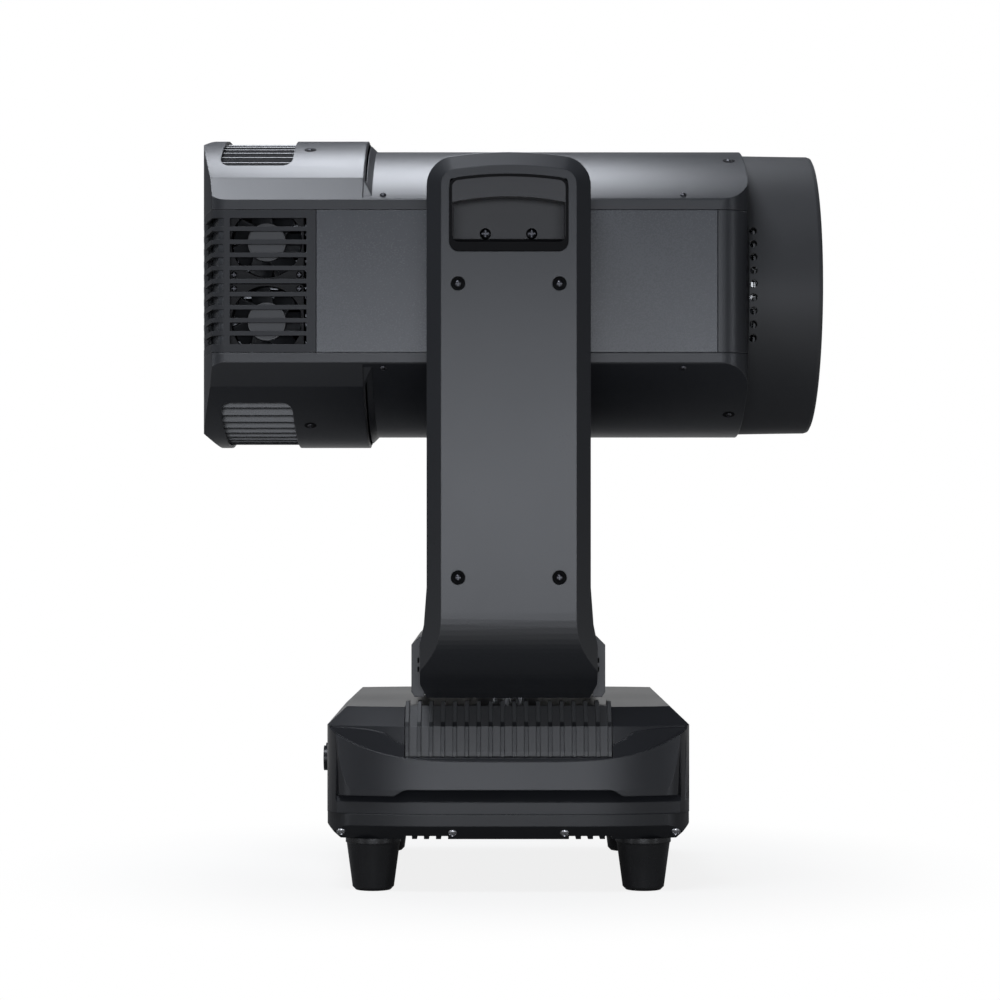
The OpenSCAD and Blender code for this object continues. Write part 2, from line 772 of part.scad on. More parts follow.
module arm_cover() {
    difference() {
        union() {
            difference() {
                arm_form(0);
                arm_form(arm_wall);
            }
            for (x = [-1, 1]*face_screw_x, z = face_screw_z)
                rod_along_y(arm_out - 13, arm_out - arm_wall + eps, 9.5, x, z);
        }
        along_y(arm_out - arm_wall - 2, arm_out + 1) grip_outline(0);
        block(-yoke_mouth, yoke_mouth, arm_in - 1, yoke_plate_end + 0.5, yoke_z - 1, plate_foot_z);
        for (x = [-1, 1]*face_screw_x, z = face_screw_z) rod_along_y(arm_out - 7, arm_out + 1, 6.5, x, z);
    }
}
module arm_cover_near() { color(charcoal) near_side() arm_cover(); }
module arm_cover_far() { color(charcoal) arm_cover(); }
module arm_inner() {
    along_y(arm_in, arm_in + arm_wall) difference() {
        arm_outline(arm_wall + seam_gap);
        translate([-arm_w, 0]) square([2*arm_w, yoke_top + 1]);
        translate([0, tilt_h]) circle(trunnion_r + 2);
    }
}
module arm_inner_near() { color(charcoal) near_side() arm_inner(); }
module arm_inner_far() { color(charcoal) arm_inner(); }

// Moulded handle: a tray with a grip bar across its mouth
bar_arc_r = 260;
grip_screw_x = 21.5;
grip_screw_d = 8;
module grip_screw_places() {
    for (x = [-1, 1]*grip_screw_x)
        translate([x, grip_floor, grip_bottom + 22]) rotate([-90, 0, 0]) children();
}
module handle() {
    difference() {
        along_y(grip_floor - grip_wall, grip_floor) grip_outline(seam_gap/2);
        grip_screw_places() screw_hole(grip_screw_d);
    }
    along_y(grip_floor - eps, arm_out) difference() {
        grip_outline(seam_gap/2);
        grip_outline(grip_wall);
    }
    along_y(arm_out - bar_t, arm_out) difference() {
        grip_outline(grip_wall - eps);
        translate([0, grip_top - bar_h - bar_arc_r + 8]) circle(bar_arc_r, $fn=240);
    }
    along_x(-grip_w/2 + grip_wall, grip_w/2 - grip_wall)
        polygon([[grip_floor - eps, grip_bottom + grip_wall - 1], [arm_out - 12, grip_bottom + grip_wall - 1],
                 [grip_floor - eps, grip_bottom + grip_wall + 12]]);
}
module handle_near() { color(black) near_side() handle(); }
module handle_far() { color(black) handle(); }
module arm_screws() {
    color(steel) both_sides() {
        for (x = [-1, 1]*face_screw_x, z = face_screw_z) {
            difference() {
                rod_along_y(arm_out - 7, arm_out - 3, 5.2, x, z);
                rod_along_y(arm_out - 5, arm_out - 2, 2.5, x, z, $fn=6);
            }
        }
        grip_screw_places() dome_screw(grip_screw_d, 2.5);
    }
}

// Sections of the head across the beam, drawn about the tilt axis
facet_z = 76.5;
facet_turn = 30;
function crown_z(half_h) = half_h - crown_r;
// The overlap of two crown circles and four facets, left wider than the head, whose plan cuts the sides
module section(half_h, t) {
    reach = head_half_w*cos(facet_turn) + facet_z*sin(facet_turn) - t;
    far = 2*crown_r;
    intersection() {
        translate([0, crown_z(half_h)]) circle(crown_r - t, $fn=180);
        translate([0, -crown_z(half_h)]) circle(crown_r - t, $fn=180);
        intersection_for(a = [facet_turn, 180 - facet_turn, 180 + facet_turn, -facet_turn]) rotate(a)
            translate([reach - far, -far/2]) square([far, far]);
    }
}
module tube_section(t) { section(tube_half_h, t); }
module rear_section(t) { section(rear_half_h, t); }
module head_plan(t) {
    w = head_half_w - t;
    intersection() {
        union() {
            round_rect(-head_rear + t, 60, -w, w, rear_corner_r - t);
            round_rect(-60, head_front - t, -w, w, front_corner_r - t);
        }
        translate([rear_bow_r - head_rear, 0]) circle(rear_bow_r - t, $fn=240);
    }
}
edge_chamfer = 15;
module head_profile(t) {
    h = rear_half_h + 1;
    low = rear_half_h - edge_chamfer - 1 - t*0.4;
    polygon([[-head_rear + t, -low], [-head_rear + t, low], [-head_rear + edge_chamfer + t*0.6, rear_half_h - t],
             [-head_rear + edge_chamfer + 2, h], [head_front - t, h], [head_front - t, -h],
             [-head_rear + edge_chamfer + 2, -h], [-head_rear + edge_chamfer + t*0.6, -rear_half_h + t]]);
}
step_inset = 1.2;
module head_form(t) {
    intersection() {
        union() {
            along_x(-rear_step - 1, head_front + 1) tube_section(t);
            along_x(-head_rear - 1, -rear_step + t) rear_section(t);
            hull() {
                along_x(-rear_step + t - 2, -rear_step + t - 0.5) rear_section(t + step_inset, $fn=60);
                along_x(-rear_step + step_len - 1, -rear_step + step_len) tube_section(t + step_inset, $fn=60);
            }
        }
        along_z(-rear_half_h - 5, rear_half_h + 5) head_plan(t);
        along_y(-head_half_w - 5, head_half_w + 5) head_profile(t);
    }
}
module at_tilt() { translate([0, 0, tilt_h]) children(); }
skirt_z = panel_half_h + seam_gap;
mouth_r = lens_r - 2;
module vent_cut(t) {
    along_y(-head_half_w, head_half_w)
        round_rect(vent_x[0] - t, vent_x[1] + t, rear_half_h - vent_reach - t, rear_half_h + 40, 9);
}
cover_screw_d = 6;
cover_screw_x = [-118, 165];
cover_screw_turn = 49;
module cover_screw_places() {
    both_sides() for (x = cover_screw_x) translate([x, 0, crown_z(tube_half_h)])
        rotate([cover_screw_turn - 90, 0, 0]) translate([0, 0, crown_r]) children();
}
module head_cover() {
    difference() {
        intersection() {
            difference() {
                head_form(0);
                head_form(head_wall);
            }
            block(-head_rear - 5, head_front + 5, -head_half_w - 5, head_half_w + 5, skirt_z, rear_half_h + 5);
        }
        vent_cut(0);
        rod_along_x(head_front - head_wall - 2, head_front + 5, mouth_r);
        cover_screw_places() screw_hole(cover_screw_d);
    }
}
module upper_cover() { color(charcoal) at_tilt() head_cover(); }
module lower_cover() { color(charcoal) at_tilt() mirror([0, 0, 1]) head_cover(); }

// The band between the covers: front bezel, side panels, fan grilles and rear panel
module band(x0, x1, y0, y1) {
    along_z(-panel_half_h, panel_half_h) intersection() {
        difference() {
            head_plan(0);
            head_plan(head_wall);
        }
        translate([x0, y0]) square([x1 - x0, y1 - y0]);
    }
}
module front_bezel() {
    color(black) at_tilt() difference() {
        band(panel_front + seam_gap, head_front + 1, -head_half_w, head_half_w);
        rod_along_x(head_front - head_wall - 2, head_front + 5, mouth_r);
    }
}
module side_panel() {
    difference() {
        band(grille_front + seam_gap, panel_front, 0, head_half_w + 1);
        rod_along_y(head_half_w - 10, head_half_w + 5, trunnion_r + 4);
    }
}
module side_panel_near() { color(panel_grey) at_tilt() near_side() side_panel(); }
module side_panel_far() { color(panel_grey) at_tilt() side_panel(); }
slot_front = -190;
post_x = [-268, -262];
module fan_grille() {
    difference() {
        band(-head_rear - 1, grille_front, grille_back_y, head_half_w + 1);
        for (i = [0:slot_count - 1]) {
            z = (i - (slot_count - 1)/2)*slot_pitch;
            along_z(z - slot_h/2, z + slot_h/2) {
                translate([post_x[1], head_half_w - 10]) square([slot_front - post_x[1], 20]);
                translate([-head_rear - 5, grille_back_y + 8])
                    square([post_x[0] + head_rear + 5, head_half_w - grille_back_y]);
            }
        }
    }
}
module fan_grille_near() { color(charcoal) at_tilt() near_side() fan_grille(); }
module fan_grille_far() { color(charcoal) at_tilt() fan_grille(); }
baffle_inset = 7;
module baffle() {
    along_z(-panel_half_h + 1, panel_half_h - 1) intersection() {
        difference() {
            head_plan(baffle_inset);
            head_plan(baffle_inset + 2);
        }
        translate([-head_rear, grille_back_y - 14]) square([head_rear + post_x[0] + 2, head_half_w]);
    }
    along_z(-panel_half_h + 1, panel_half_h - 1) intersection() {
        difference() {
            head_plan(head_wall - eps);
            head_plan(baffle_inset + 2);
        }
        translate([-head_rear, grille_back_y - 14]) square([head_rear/2, 5]);
    }
}
module rear_panel() {
    w = grille_back_y - seam_gap;
    color(panel_grey) at_tilt() {
        difference() {
            band(-head_rear - 1, -head_rear + 40, -w, w);
            for (i = [0:slot_count - 1], s = [-1, 1]) {
                z = (i - (slot_count - 1)/2)*slot_pitch;
                block(-head_rear - 5, -head_rear + 40, s*w/2 - 32, s*w/2 + 32, z - slot_h/2, z + slot_h/2);
            }
        }
        both_sides() baffle();
    }
}
// Louvres under the vents: slats along X, parted by narrow gaps that follow the curve of the cover
louvre_t = 9;
slat_gap = 2.5;
slat_pitch = 14.7;
module louvre_cuts() {
    x0 = vent_x[0] + 2;
    x1 = vent_x[1] - 2;
    turn = slat_pitch/crown_r*180/PI;
    for (i = [-7.5:1:7.5]) translate([0, 0, crown_z(rear_half_h)]) rotate([i*turn, 0, 0])
        block(x0, x1, -slat_gap/2, slat_gap/2, crown_r - 30, crown_r + 5);
}
module vent_louvres() {
    color(alloy) at_tilt() for (s = [0, 1]) mirror([0, 0, s]) difference() {
        intersection() {
            difference() {
                rear_louvre(vent_drop);
                rear_louvre(vent_drop + louvre_t);
            }
            vent_cut(3);
        }
        louvre_cuts();
    }
}
module rear_louvre(t) { along_x(vent_x[0] - 5, vent_x[1] + 5) rear_section(t); }

// Hood, turned about the beam axis, with a row of small vents at its root on each side
hood_vents = 9;
hood_vent_pitch = 12.8;
hood_vent_r = 3.6;
hood_root = 2;
module hood_profile() {
    seat = hood_flange + lens_edge + 0.2;
    lip = seat + 3;
    polygon([[lens_r - 6, 0], [hood_r - 1.5, 0], [hood_r, 1.5], [hood_r - 1, hood_len - 4],
             [hood_r - 2, hood_len - 1], [hood_r - 4, hood_len], [hood_r - hood_wall - 2, hood_len - 2],
             [hood_r - hood_wall, lip], [lens_r + 8, lip], [lens_r + 8, seat],
             [lens_r + 0.2, seat], [lens_r + 0.2, hood_flange], [lens_r - 6, hood_flange]]);
}
module front_hood() {
    color(charcoal) at_tilt() difference() {
        translate([head_front, 0, 0]) rotate([0, 90, 0]) rotate_extrude() hood_profile();
        both_sides() for (i = [0:hood_vents - 1])
            rod_along_y(hood_r*0.7, hood_r + 2, hood_vent_r, head_front + hood_root + hood_vent_r,
                        (i - (hood_vents - 1)/2)*hood_vent_pitch);
    }
}
lens_sphere_r = (lens_r*lens_r + lens_crown*lens_crown)/(2*lens_crown);
module front_lens() {
    color([0.75, 0.8, 0.85, 0.6]) at_tilt() translate([head_front + hood_flange, 0, 0]) rotate([0, 90, 0])
        rotate_extrude() {
            square([lens_r, lens_edge]);
            intersection() {
                translate([0, lens_edge + lens_crown - lens_sphere_r]) circle(lens_sphere_r, $fn=180);
                translate([0, lens_edge - eps]) square([lens_r, lens_crown + 1]);
            }
        }
}

// Chassis: side plates with the trunnions, three bulkheads and the guide rods of the zoom carriage
module bulkhead(x, r) {
    along_x(x, x + chassis_t) difference() {
        intersection() {
            tube_section(head_wall + 0.3);
            square([2*chassis_y + 2*chassis_t, 2*tube_half_h], center=true);
        }
        circle(r);
    }
}
flange_trunnion_r = 36;
trunnion_end = pulley_in + pulley_w + 2.5;
module head_chassis() {
    color(steel) at_tilt() {
        difference() {
            union() {
                both_sides() {
                    block(engine_x, front_bulkhead + chassis_t, chassis_y, chassis_y + chassis_t,
                          -panel_half_h + 5, panel_half_h - 5);
                    rod_along_y(chassis_y, head_half_w - head_wall - 0.5, flange_trunnion_r);
                    rod_along_y(chassis_y, trunnion_end, trunnion_r);
                }
                bulkhead(engine_x, 60);
                bulkhead(module_x, 40);
                bulkhead(front_bulkhead, lens_r - 4);
            }
            both_sides() rod_along_y(chassis_y - 5, trunnion_end + 1, trunnion_r - 7);
        }
        for (y = [-rod_y, rod_y], z = [-rod_z, rod_z])
            rod_along_x(module_x + chassis_t - eps, front_bulkhead + eps, rod_r, y, z);
        rod_along_x(module_x + chassis_t - eps, colour_x + 8, wheel_pin_r, 0, -wheel_z);
        rod_along_x(module_x + chassis_t - eps, gobo_x + 8, wheel_pin_r, 0, wheel_z);
    }
}
module tilt_pulley() {
    color(alloy) near_side() translate([0, pulley_in, tilt_h]) rotate([-90, 0, 0])
        rotate_extrude() pulley_profile(tilt_pulley_r, trunnion_r + 0.02);
}

// Wheels and zoom carriage
wheel_holes = 7;
module effect_wheel(x, z, hole_r) {
    at_tilt() difference() {
        union() {
            rod_along_x(x, x + wheel_t, wheel_r, 0, z);
            rod_along_x(x, x + 6, 10, 0, z);
        }
        rod_along_x(x - 1, x + 10, wheel_pin_r + shaft_gap, 0, z);
        for (i = [0:wheel_holes - 1]) {
            a = i*360/wheel_holes - 90*sign(z);
            rod_along_x(x - 1, x + 10, hole_r, wheel_z*cos(a)*0.85, z + wheel_z*sin(a)*0.85);
        }
    }
}
module colour_wheel() { color(alloy) effect_wheel(colour_x, -wheel_z, 18); }
module gobo_wheel() { color(steel) effect_wheel(gobo_x, wheel_z, 14); }
zoom_t = 6;
zoom_lens_r = 52;
module zoom_carriage() {
    color(alloy) at_tilt() difference() {
        along_x(zoom_x, zoom_x + zoom_t) round_rect(-rod_y - 14, rod_y + 14, -rod_z - 14, rod_z + 14, 10);
        for (y = [-rod_y, rod_y], z = [-rod_z, rod_z])
            rod_along_x(zoom_x - 1, zoom_x + zoom_t + 1, rod_r + shaft_gap, y, z);
        rod_along_x(zoom_x + zoom_t - 2, zoom_x + zoom_t + 1, zoom_lens_r, 0, 0);
        rod_along_x(zoom_x - 1, zoom_x + zoom_t + 1, zoom_lens_r - 6, 0, 0);
    }
}

// Light engine and the heat sink behind it, between the fans
sink_plates = 18;
sink_back = -head_rear + 24;
sink_half_h = 74;
module heat_sink() {
    front = engine_x - 10;
    reach = fan_in - 0.3;
    color(alloy) at_tilt() {
        block(front, engine_x, -60, 60, -sink_half_h, sink_half_h);
        for (i = [0:sink_plates - 1]) {
            z = -sink_half_h + i*(2*sink_half_h - 2)/(sink_plates - 1);
            block(sink_back, front + eps, -reach, reach, z, z + 2);
        }
    }
}
module light_engine() {
    color(panel_grey) at_tilt() {
        rod_along_x(engine_x, engine_x + 12, 59.5);
        rod_along_x(engine_x + 12 - eps, module_x - 4, 46);
    }
}

// Fans: frames fixed in the head, rotors on their pins
spider_t = 3;
module fan_outline() {
    difference() {
        round_rect(-fan_size/2, fan_size/2, -fan_size/2, fan_size/2, 4);
        circle(fan_bore);
        for (x = [-1, 1]*(fan_size/2 - 4.2), z = [-1, 1]*(fan_size/2 - 4.2)) translate([x, z]) circle(2.1);
    }
}
module fan_spider() {
    circle(hub_r - 1);
    for (a = [45, 165, 285]) rotate(a) translate([hub_r - 3, -2]) square([fan_bore - hub_r + 3.6, 4]);
}
module fan_frame() {
    along_y(fan_in, fan_out) fan_outline();
    along_y(fan_in, fan_in + spider_t) fan_spider();
    rod_along_y(fan_in + spider_t - eps, fan_out - 4, pin_r);
}
module at_fan(i) {
    at_tilt() mirror([0, i < 2 ? 1 : 0, 0]) translate([fan_x, 0, (i % 2 == 0 ? 1 : -1)*fan_pitch/2]) children();
}
module fan_frames() {
    color(black) for (i = [0:len(fan_names) - 1]) at_fan(i) fan_frame();
}
blade_clear = 1.2;
module fan_rotor(i) {
    y0 = fan_in + spider_t + 1;
    y1 = fan_out - 2;
    tip = fan_bore - blade_clear;
    color(black) at_fan(i) difference() {
        union() {
            rod_along_y(y0, y1, hub_r);
            intersection() {
                rod_along_y(y0, y1, tip);
                for (b = [0:blade_count - 1]) rotate([0, b*360/blade_count, 0])
                    translate([0, (y0 + y1)/2, 0]) rotate([38, 0, 0]) translate([hub_r - 3, -1, -12])
                        cube([tip, 2, 24]);
            }
        }
        rod_along_y(y0 - 1, fan_out - 4 + slide_gap, pin_r + shaft_gap);
    }
}

// Screws of the head covers
module head_screws() {
    color(steel) at_tilt() for (s = [0, 1]) mirror([0, 0, s]) cover_screw_places() dome_screw(cover_screw_d, 2.5);
}

bottom_pan();
base_cover();
base_heat_sinks();
feet();
bracket_sockets();
base_screws();
connector_panel();
power_connectors();
data_connectors();
display_panel();
display_screen();
power_supply();
control_board();
pan_spindle();
yoke_plate();
yoke_cover();
bearings();
pan_belt();
pan_motor();
pan_motor_pulley();
arm_plate_near();
arm_plate_far();
arm_inner_near();
arm_inner_far();
arm_cover_near();
arm_cover_far();
handle_near();
handle_far();
arm_screws();
tilt_motor();
tilt_motor_pulley();
tilt_belt();
head_chassis();
tilt_pulley();
upper_cover();
lower_cover();
side_panel_near();
side_panel_far();
fan_grille_near();
fan_grille_far();
rear_panel();
vent_louvres();
front_bezel();
front_hood();
front_lens();
head_screws();
fan_frames();
heat_sink();
light_engine();
colour_wheel();
gobo_wheel();
zoom_carriage();
menu_button(0);  // button_mode
menu_button(1);  // button_up
menu_button(2);  // button_down
menu_button(3);  // button_enter
fan_rotor(0);  // fan_rotor_near_upper
fan_rotor(1);  // fan_rotor_near_lower
fan_rotor(2);  // fan_rotor_far_upper
fan_rotor(3);  // fan_rotor_far_lower
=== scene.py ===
# %% [markdown]
# # A moving head light, dressed for the camera
# The construction comes as a packed frame: sixty rigid pieces on fifteen joints, in metres, with the
# beam along +X and the arms at -Y and +Y. This lesson adds what the frame lacks: finishes, rounded
# edges, a bowed base, arched arm tops, screw recesses, fan screws, menu marks and socket pins.
# Nothing in the frame is moved, so every piece goes where the frame says.

# %% Load the frame
import json
import math

import bmesh
import bpy
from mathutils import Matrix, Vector


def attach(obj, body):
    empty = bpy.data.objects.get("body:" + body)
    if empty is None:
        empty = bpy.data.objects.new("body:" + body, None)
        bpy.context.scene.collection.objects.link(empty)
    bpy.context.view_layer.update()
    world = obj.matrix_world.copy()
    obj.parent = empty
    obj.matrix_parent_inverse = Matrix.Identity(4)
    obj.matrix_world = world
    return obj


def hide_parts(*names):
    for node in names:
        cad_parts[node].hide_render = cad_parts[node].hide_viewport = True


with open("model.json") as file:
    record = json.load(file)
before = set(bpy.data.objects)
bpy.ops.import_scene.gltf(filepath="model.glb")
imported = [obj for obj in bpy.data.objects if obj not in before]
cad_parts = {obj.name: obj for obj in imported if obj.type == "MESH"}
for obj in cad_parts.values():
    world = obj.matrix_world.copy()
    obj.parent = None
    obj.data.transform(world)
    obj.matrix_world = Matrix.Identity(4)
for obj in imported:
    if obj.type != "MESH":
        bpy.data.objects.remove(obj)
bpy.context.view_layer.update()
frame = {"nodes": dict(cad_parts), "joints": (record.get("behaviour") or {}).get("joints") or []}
nodes = frame["nodes"]
tilt_joint = next(j for j in frame["joints"] if j["name"] == "tilt")
TILT_Z = tilt_joint["pos_m"][2]

# %% [markdown]
# ## Camera
# The photograph was taken square on, from about the height of the yoke's foot. Feet, hood and grille
# agree on a distance of 2.8 m, so the lens is a long one. Tilting the camera would make the upright
# edges lean. The picture's centre lies a little off the lens axis, so the sensor is shifted instead.

# %% Camera
CAMERA_PLACE = (-0.0172, -2.8, 0.333)
VIEW_WIDTH = 1.0
SENSOR = 36.0
SENSOR_SHIFT = (0.010, 0.035)
camera_data = bpy.data.cameras.new("camera")
camera_data.sensor_width = SENSOR
camera_data.lens = SENSOR * -CAMERA_PLACE[1] / VIEW_WIDTH
camera_data.shift_x, camera_data.shift_y = SENSOR_SHIFT
camera = bpy.data.objects.new("camera", camera_data)
camera.location = CAMERA_PLACE
camera.rotation_euler = (math.radians(90), 0, 0)
bpy.context.scene.collection.objects.link(camera)
bpy.context.scene.camera = camera
bpy.context.scene.view_settings.view_transform = "Standard"
print("lens", round(camera_data.lens, 1), "mm")

# %% [markdown]
# ## Node trees as Python
# Materials here are sums and products of noise fields. They could be wired node by node, but then the
# formula is hard to see. Wrapping a socket in a small class lets it be written as a plain expression:
# each operator adds one Math node and links it. Every other node comes from one method of a tree.


# %% Fields and trees
class Field:
    """A value socket in a node tree that can be added, multiplied and compared."""

    def __init__(self, tree, socket):
        self.tree = tree
        self.socket = socket

    def maths(self, operation, left, right):
        node = self.tree.nodes.new("ShaderNodeMath")
        node.operation = operation
        for slot, value in zip(node.inputs, (left, right)):
            feed(self.tree, slot, value)
        return Field(self.tree, node.outputs[0])

    def __add__(self, other):
        return self.maths("ADD", self, other)

    __radd__ = __add__

    def __mul__(self, other):
        return self.maths("MULTIPLY", self, other)

    __rmul__ = __mul__

    def __sub__(self, other):
        return self.maths("SUBTRACT", self, other)

    def __rsub__(self, other):
        return self.maths("SUBTRACT", other, self)


def feed(tree, slot, value):
    """Link a field or a socket into the slot, or set a plain value on it."""
    if isinstance(value, Field):
        tree.links.new(value.socket, slot)
    elif isinstance(value, bpy.types.NodeSocket):
        tree.links.new(value, slot)
    else:
        slot.default_value = value


class Tree:
    """A node tree and one method that adds any node: its type, its settings, then its sockets."""

    def __init__(self, tree, prefix=""):
        self.tree = tree
        self.prefix = prefix

    def node(self, kind, settings=None, **sockets):
        made = self.tree.nodes.new(self.prefix + kind)
        for key, value in (settings or {}).items():
            setattr(made, key, value)
        for key, value in sockets.items():
            slot = made.inputs[key.replace("_", " ")]
            for one in value if isinstance(value, list) else [value]:
                feed(self.tree, slot, one)
        return made


print("reflected operators", [name for name in vars(Field) if name.startswith("__r")])

# %% [markdown]
# A finish is such a tree round one shader. Its noise reads the piece's own place, because that stays
# with the piece when a joint moves. Moulded edges are never quite sharp, so a Bevel node under the
# bump rounds them in the shading, which costs no faces.

# %% Finishes under construction
MIX_MASK = 0
MIX_LOW = 6
MIX_HIGH = 7
MIX_RESULT = 2
BEVEL_SAMPLES = 4


class Finish(Tree):
    """A material under construction. A Mix node has sockets for every data type, these for colours."""

    def __init__(self, name):
        self.material = bpy.data.materials.new(name)
        self.material.use_nodes = True
        super().__init__(self.material.node_tree, "ShaderNode")
        self.shader = self.tree.nodes["Principled BSDF"]

    def set(self, **sockets):
        for key, value in sockets.items():
            feed(self.tree, self.shader.inputs[key.replace("_", " ")], value)

    def place(self):
        return self.node("TexCoord").outputs["Object"]

    def noise(self, scale, detail=2.0, roughness=0.5):
        made = self.node("TexNoise", Vector=self.place(), Scale=scale, Detail=detail,
                         Roughness=roughness)
        return Field(self.tree, made.outputs[0])

    def between(self, mask, low, high):
        made = self.node("Mix", {"data_type": "RGBA"})
        feed(self.tree, made.inputs[MIX_MASK], mask)
        for index, colour in ((MIX_LOW, low), (MIX_HIGH, high)):
            feed(self.tree, made.inputs[index], (*colour, 1) if isinstance(colour, tuple) else colour)
        return made.outputs[MIX_RESULT]

    def bump(self, height, distance, strength, edge):
        rounded = self.node("Bevel", {"samples": BEVEL_SAMPLES}, Radius=edge)
        made = self.node("Bump", Height=height, Distance=distance, Strength=strength,
                         Normal=rounded.outputs[0])
        self.set(Normal=made.outputs[0])


print("materials in the frame", len(bpy.data.materials))

# %% [markdown]
# ## Finishes
# Most of the light is moulded plastic with a fine spark-eroded grain, nearly black and a little blue.
# The grain is too fine to see singly from a step away, but it breaks up reflections, so it is a bump
# of a fraction of a millimetre. An image could hold it, but noise has no seams and no pixels. Slow
# noise varies the gloss, as handling does.

# %% Moulded plastic and paint
CLOUD_SHARE = 0.6
GLOSS_SPREAD = 0.08


def grained(name, dark, light, rough, grain=900.0, depth=0.00006, edge=0.0012, shine=0.5):
    made = Finish(name)
    cloud = made.noise(7.0, detail=3.0)
    speck = made.noise(grain, roughness=0.6)
    tone = cloud * CLOUD_SHARE + speck * (1 - CLOUD_SHARE)
    made.set(Base_Color=made.between(tone, dark, light), Specular_IOR_Level=shine)
    made.set(Roughness=(cloud - 0.5) * GLOSS_SPREAD + (speck - 0.5) * GLOSS_SPREAD + rough)
    made.bump(speck, depth, strength=0.6, edge=edge)
    return made.material


CHARCOAL = grained("charcoal_moulding", (0.0125, 0.0135, 0.016), (0.021, 0.0225, 0.026), 0.36)
BASE_COAT = grained("base_moulding", (0.0105, 0.011, 0.013), (0.017, 0.018, 0.021), 0.33, shine=0.42)
ARM_COAT = grained("arm_moulding", (0.017, 0.018, 0.0205), (0.026, 0.0275, 0.0305), 0.30, shine=0.47)
PANEL_COAT = grained("panel_powder_coat", (0.040, 0.043, 0.048), (0.062, 0.066, 0.073), 0.27,
                     grain=650.0)
HOOD_COAT = grained("hood_moulding", (0.034, 0.0345, 0.036), (0.044, 0.045, 0.047), 0.48, shine=0.30)
GRILLE_COAT = grained("grille_moulding", (0.018, 0.019, 0.021), (0.028, 0.029, 0.032), 0.42,
                      edge=0.0006, shine=0.28)
PAN_COAT = grained("pan_enamel", (0.010, 0.0105, 0.012), (0.016, 0.017, 0.019), 0.36, shine=0.4)
HANDLE_BLACK = grained("handle_moulding", (0.012, 0.012, 0.0135), (0.02, 0.02, 0.022), 0.38)
FAN_BLACK = grained("fan_moulding", (0.018, 0.019, 0.021), (0.03, 0.031, 0.033), 0.3,
                    grain=500.0, depth=0.00003, edge=0.0005)
FRAME_BLACK = grained("fan_frame", (0.008, 0.008, 0.009), (0.013, 0.013, 0.014), 0.4,
                      edge=0.0005, shine=0.15)
LOUVRE_GREY = grained("louvre_enamel", (0.020, 0.021, 0.023), (0.032, 0.033, 0.036), 0.27,
                      grain=600.0, depth=0.00003, edge=0.0003)
HUB_GREY = grained("hub_cover", (0.040, 0.041, 0.044), (0.060, 0.062, 0.066), 0.4,
                   grain=500.0, depth=0.00003, edge=0.0003)
# Painted shade: near black and matte, this finish stands in for the dark inside deep wells, slots and
# gaps.
PAINTED_SHADE = grained("screw_well", (0.004, 0.004, 0.0045), (0.007, 0.007, 0.0075), 0.7, shine=0.1)
MARK_WHITE = grained("button_mark", (0.55, 0.56, 0.57), (0.70, 0.71, 0.72), 0.5)
BUTTON_GREY = grained("button_cap", (0.10, 0.10, 0.11), (0.16, 0.165, 0.17), 0.45, edge=0.0006)
SOCKET_BLACK = grained("socket_moulding", (0.014, 0.014, 0.015), (0.022, 0.022, 0.024), 0.35,
                       edge=0.0005)
BOARD_GREEN = grained("board_mask", (0.01, 0.06, 0.03), (0.02, 0.09, 0.045), 0.4)
print("materials with the mouldings", len(bpy.data.materials))

# %% [markdown]
# The feet are rubber with a satin skin. Screws are zinc-plated or blackened steel, and the parts inside
# are plain alloy. Metal shows little but reflections, so its noise stands for fine scratches that vary
# the gloss. The lens is coated glass. The menu screen is dark glass, and its glowing bars have a
# material of their own, so that they can be laid on it as separate pieces.


# %% Rubber, metal and glass
def rubber():
    made = Finish("foot_rubber")
    cloud = made.noise(30.0, detail=3.0)
    made.set(Base_Color=made.between(cloud, (0.011, 0.011, 0.0115), (0.020, 0.020, 0.021)))
    made.set(Roughness=cloud * 0.12 + 0.20)
    made.bump(made.noise(160.0), 0.0002, strength=0.3, edge=0.0015)
    return made.material


def metal(name, dark, light, rough):
    made = Finish(name)
    scratch = made.noise(300.0, detail=4.0, roughness=0.7)
    made.set(Base_Color=made.between(scratch, dark, light), Metallic=1.0)
    made.set(Roughness=(scratch - 0.5) * 0.15 + rough)
    made.bump(scratch, 0.00003, strength=0.4, edge=0.0003)
    return made.material


def glass():
    made = Finish("lens_glass")
    made.set(Base_Color=(0.9, 0.94, 1.0, 1), Transmission_Weight=1.0, IOR=1.5, Coat_Weight=0.4)
    made.set(Roughness=made.noise(40.0) * 0.02 + 0.01)
    return made.material


def screen():
    made = Finish("menu_screen")
    row = made.noise(220.0, detail=1.0)
    made.set(Base_Color=made.between(row, (0.006, 0.010, 0.020), (0.012, 0.020, 0.038)), Coat_Weight=1.0)
    made.set(Roughness=row * 0.05 + 0.08)
    return made.material


def menu_glow():
    made = Finish("menu_glow")
    row = made.noise(300.0, detail=1.0)
    made.set(Base_Color=(0.05, 0.08, 0.12, 1), Roughness=0.3, Emission_Strength=0.7)
    made.set(Emission_Color=made.between(row, (0.30, 0.52, 0.80), (0.42, 0.66, 0.92)))
    return made.material


RUBBER = rubber()
STEEL = metal("zinc_steel", (0.45, 0.45, 0.46), (0.62, 0.62, 0.63), 0.25)
DARK_STEEL = metal("black_oxide_steel", (0.05, 0.05, 0.055), (0.10, 0.10, 0.11), 0.35)
ALLOY = metal("cast_alloy", (0.32, 0.33, 0.35), (0.46, 0.47, 0.49), 0.38)
BRASS = metal("gilt_brass", (0.55, 0.40, 0.16), (0.70, 0.52, 0.24), 0.25)
GLASS = glass()
SCREEN = screen()
MENU_GLOW = menu_glow()
print("materials with metal and glass", len(bpy.data.materials))

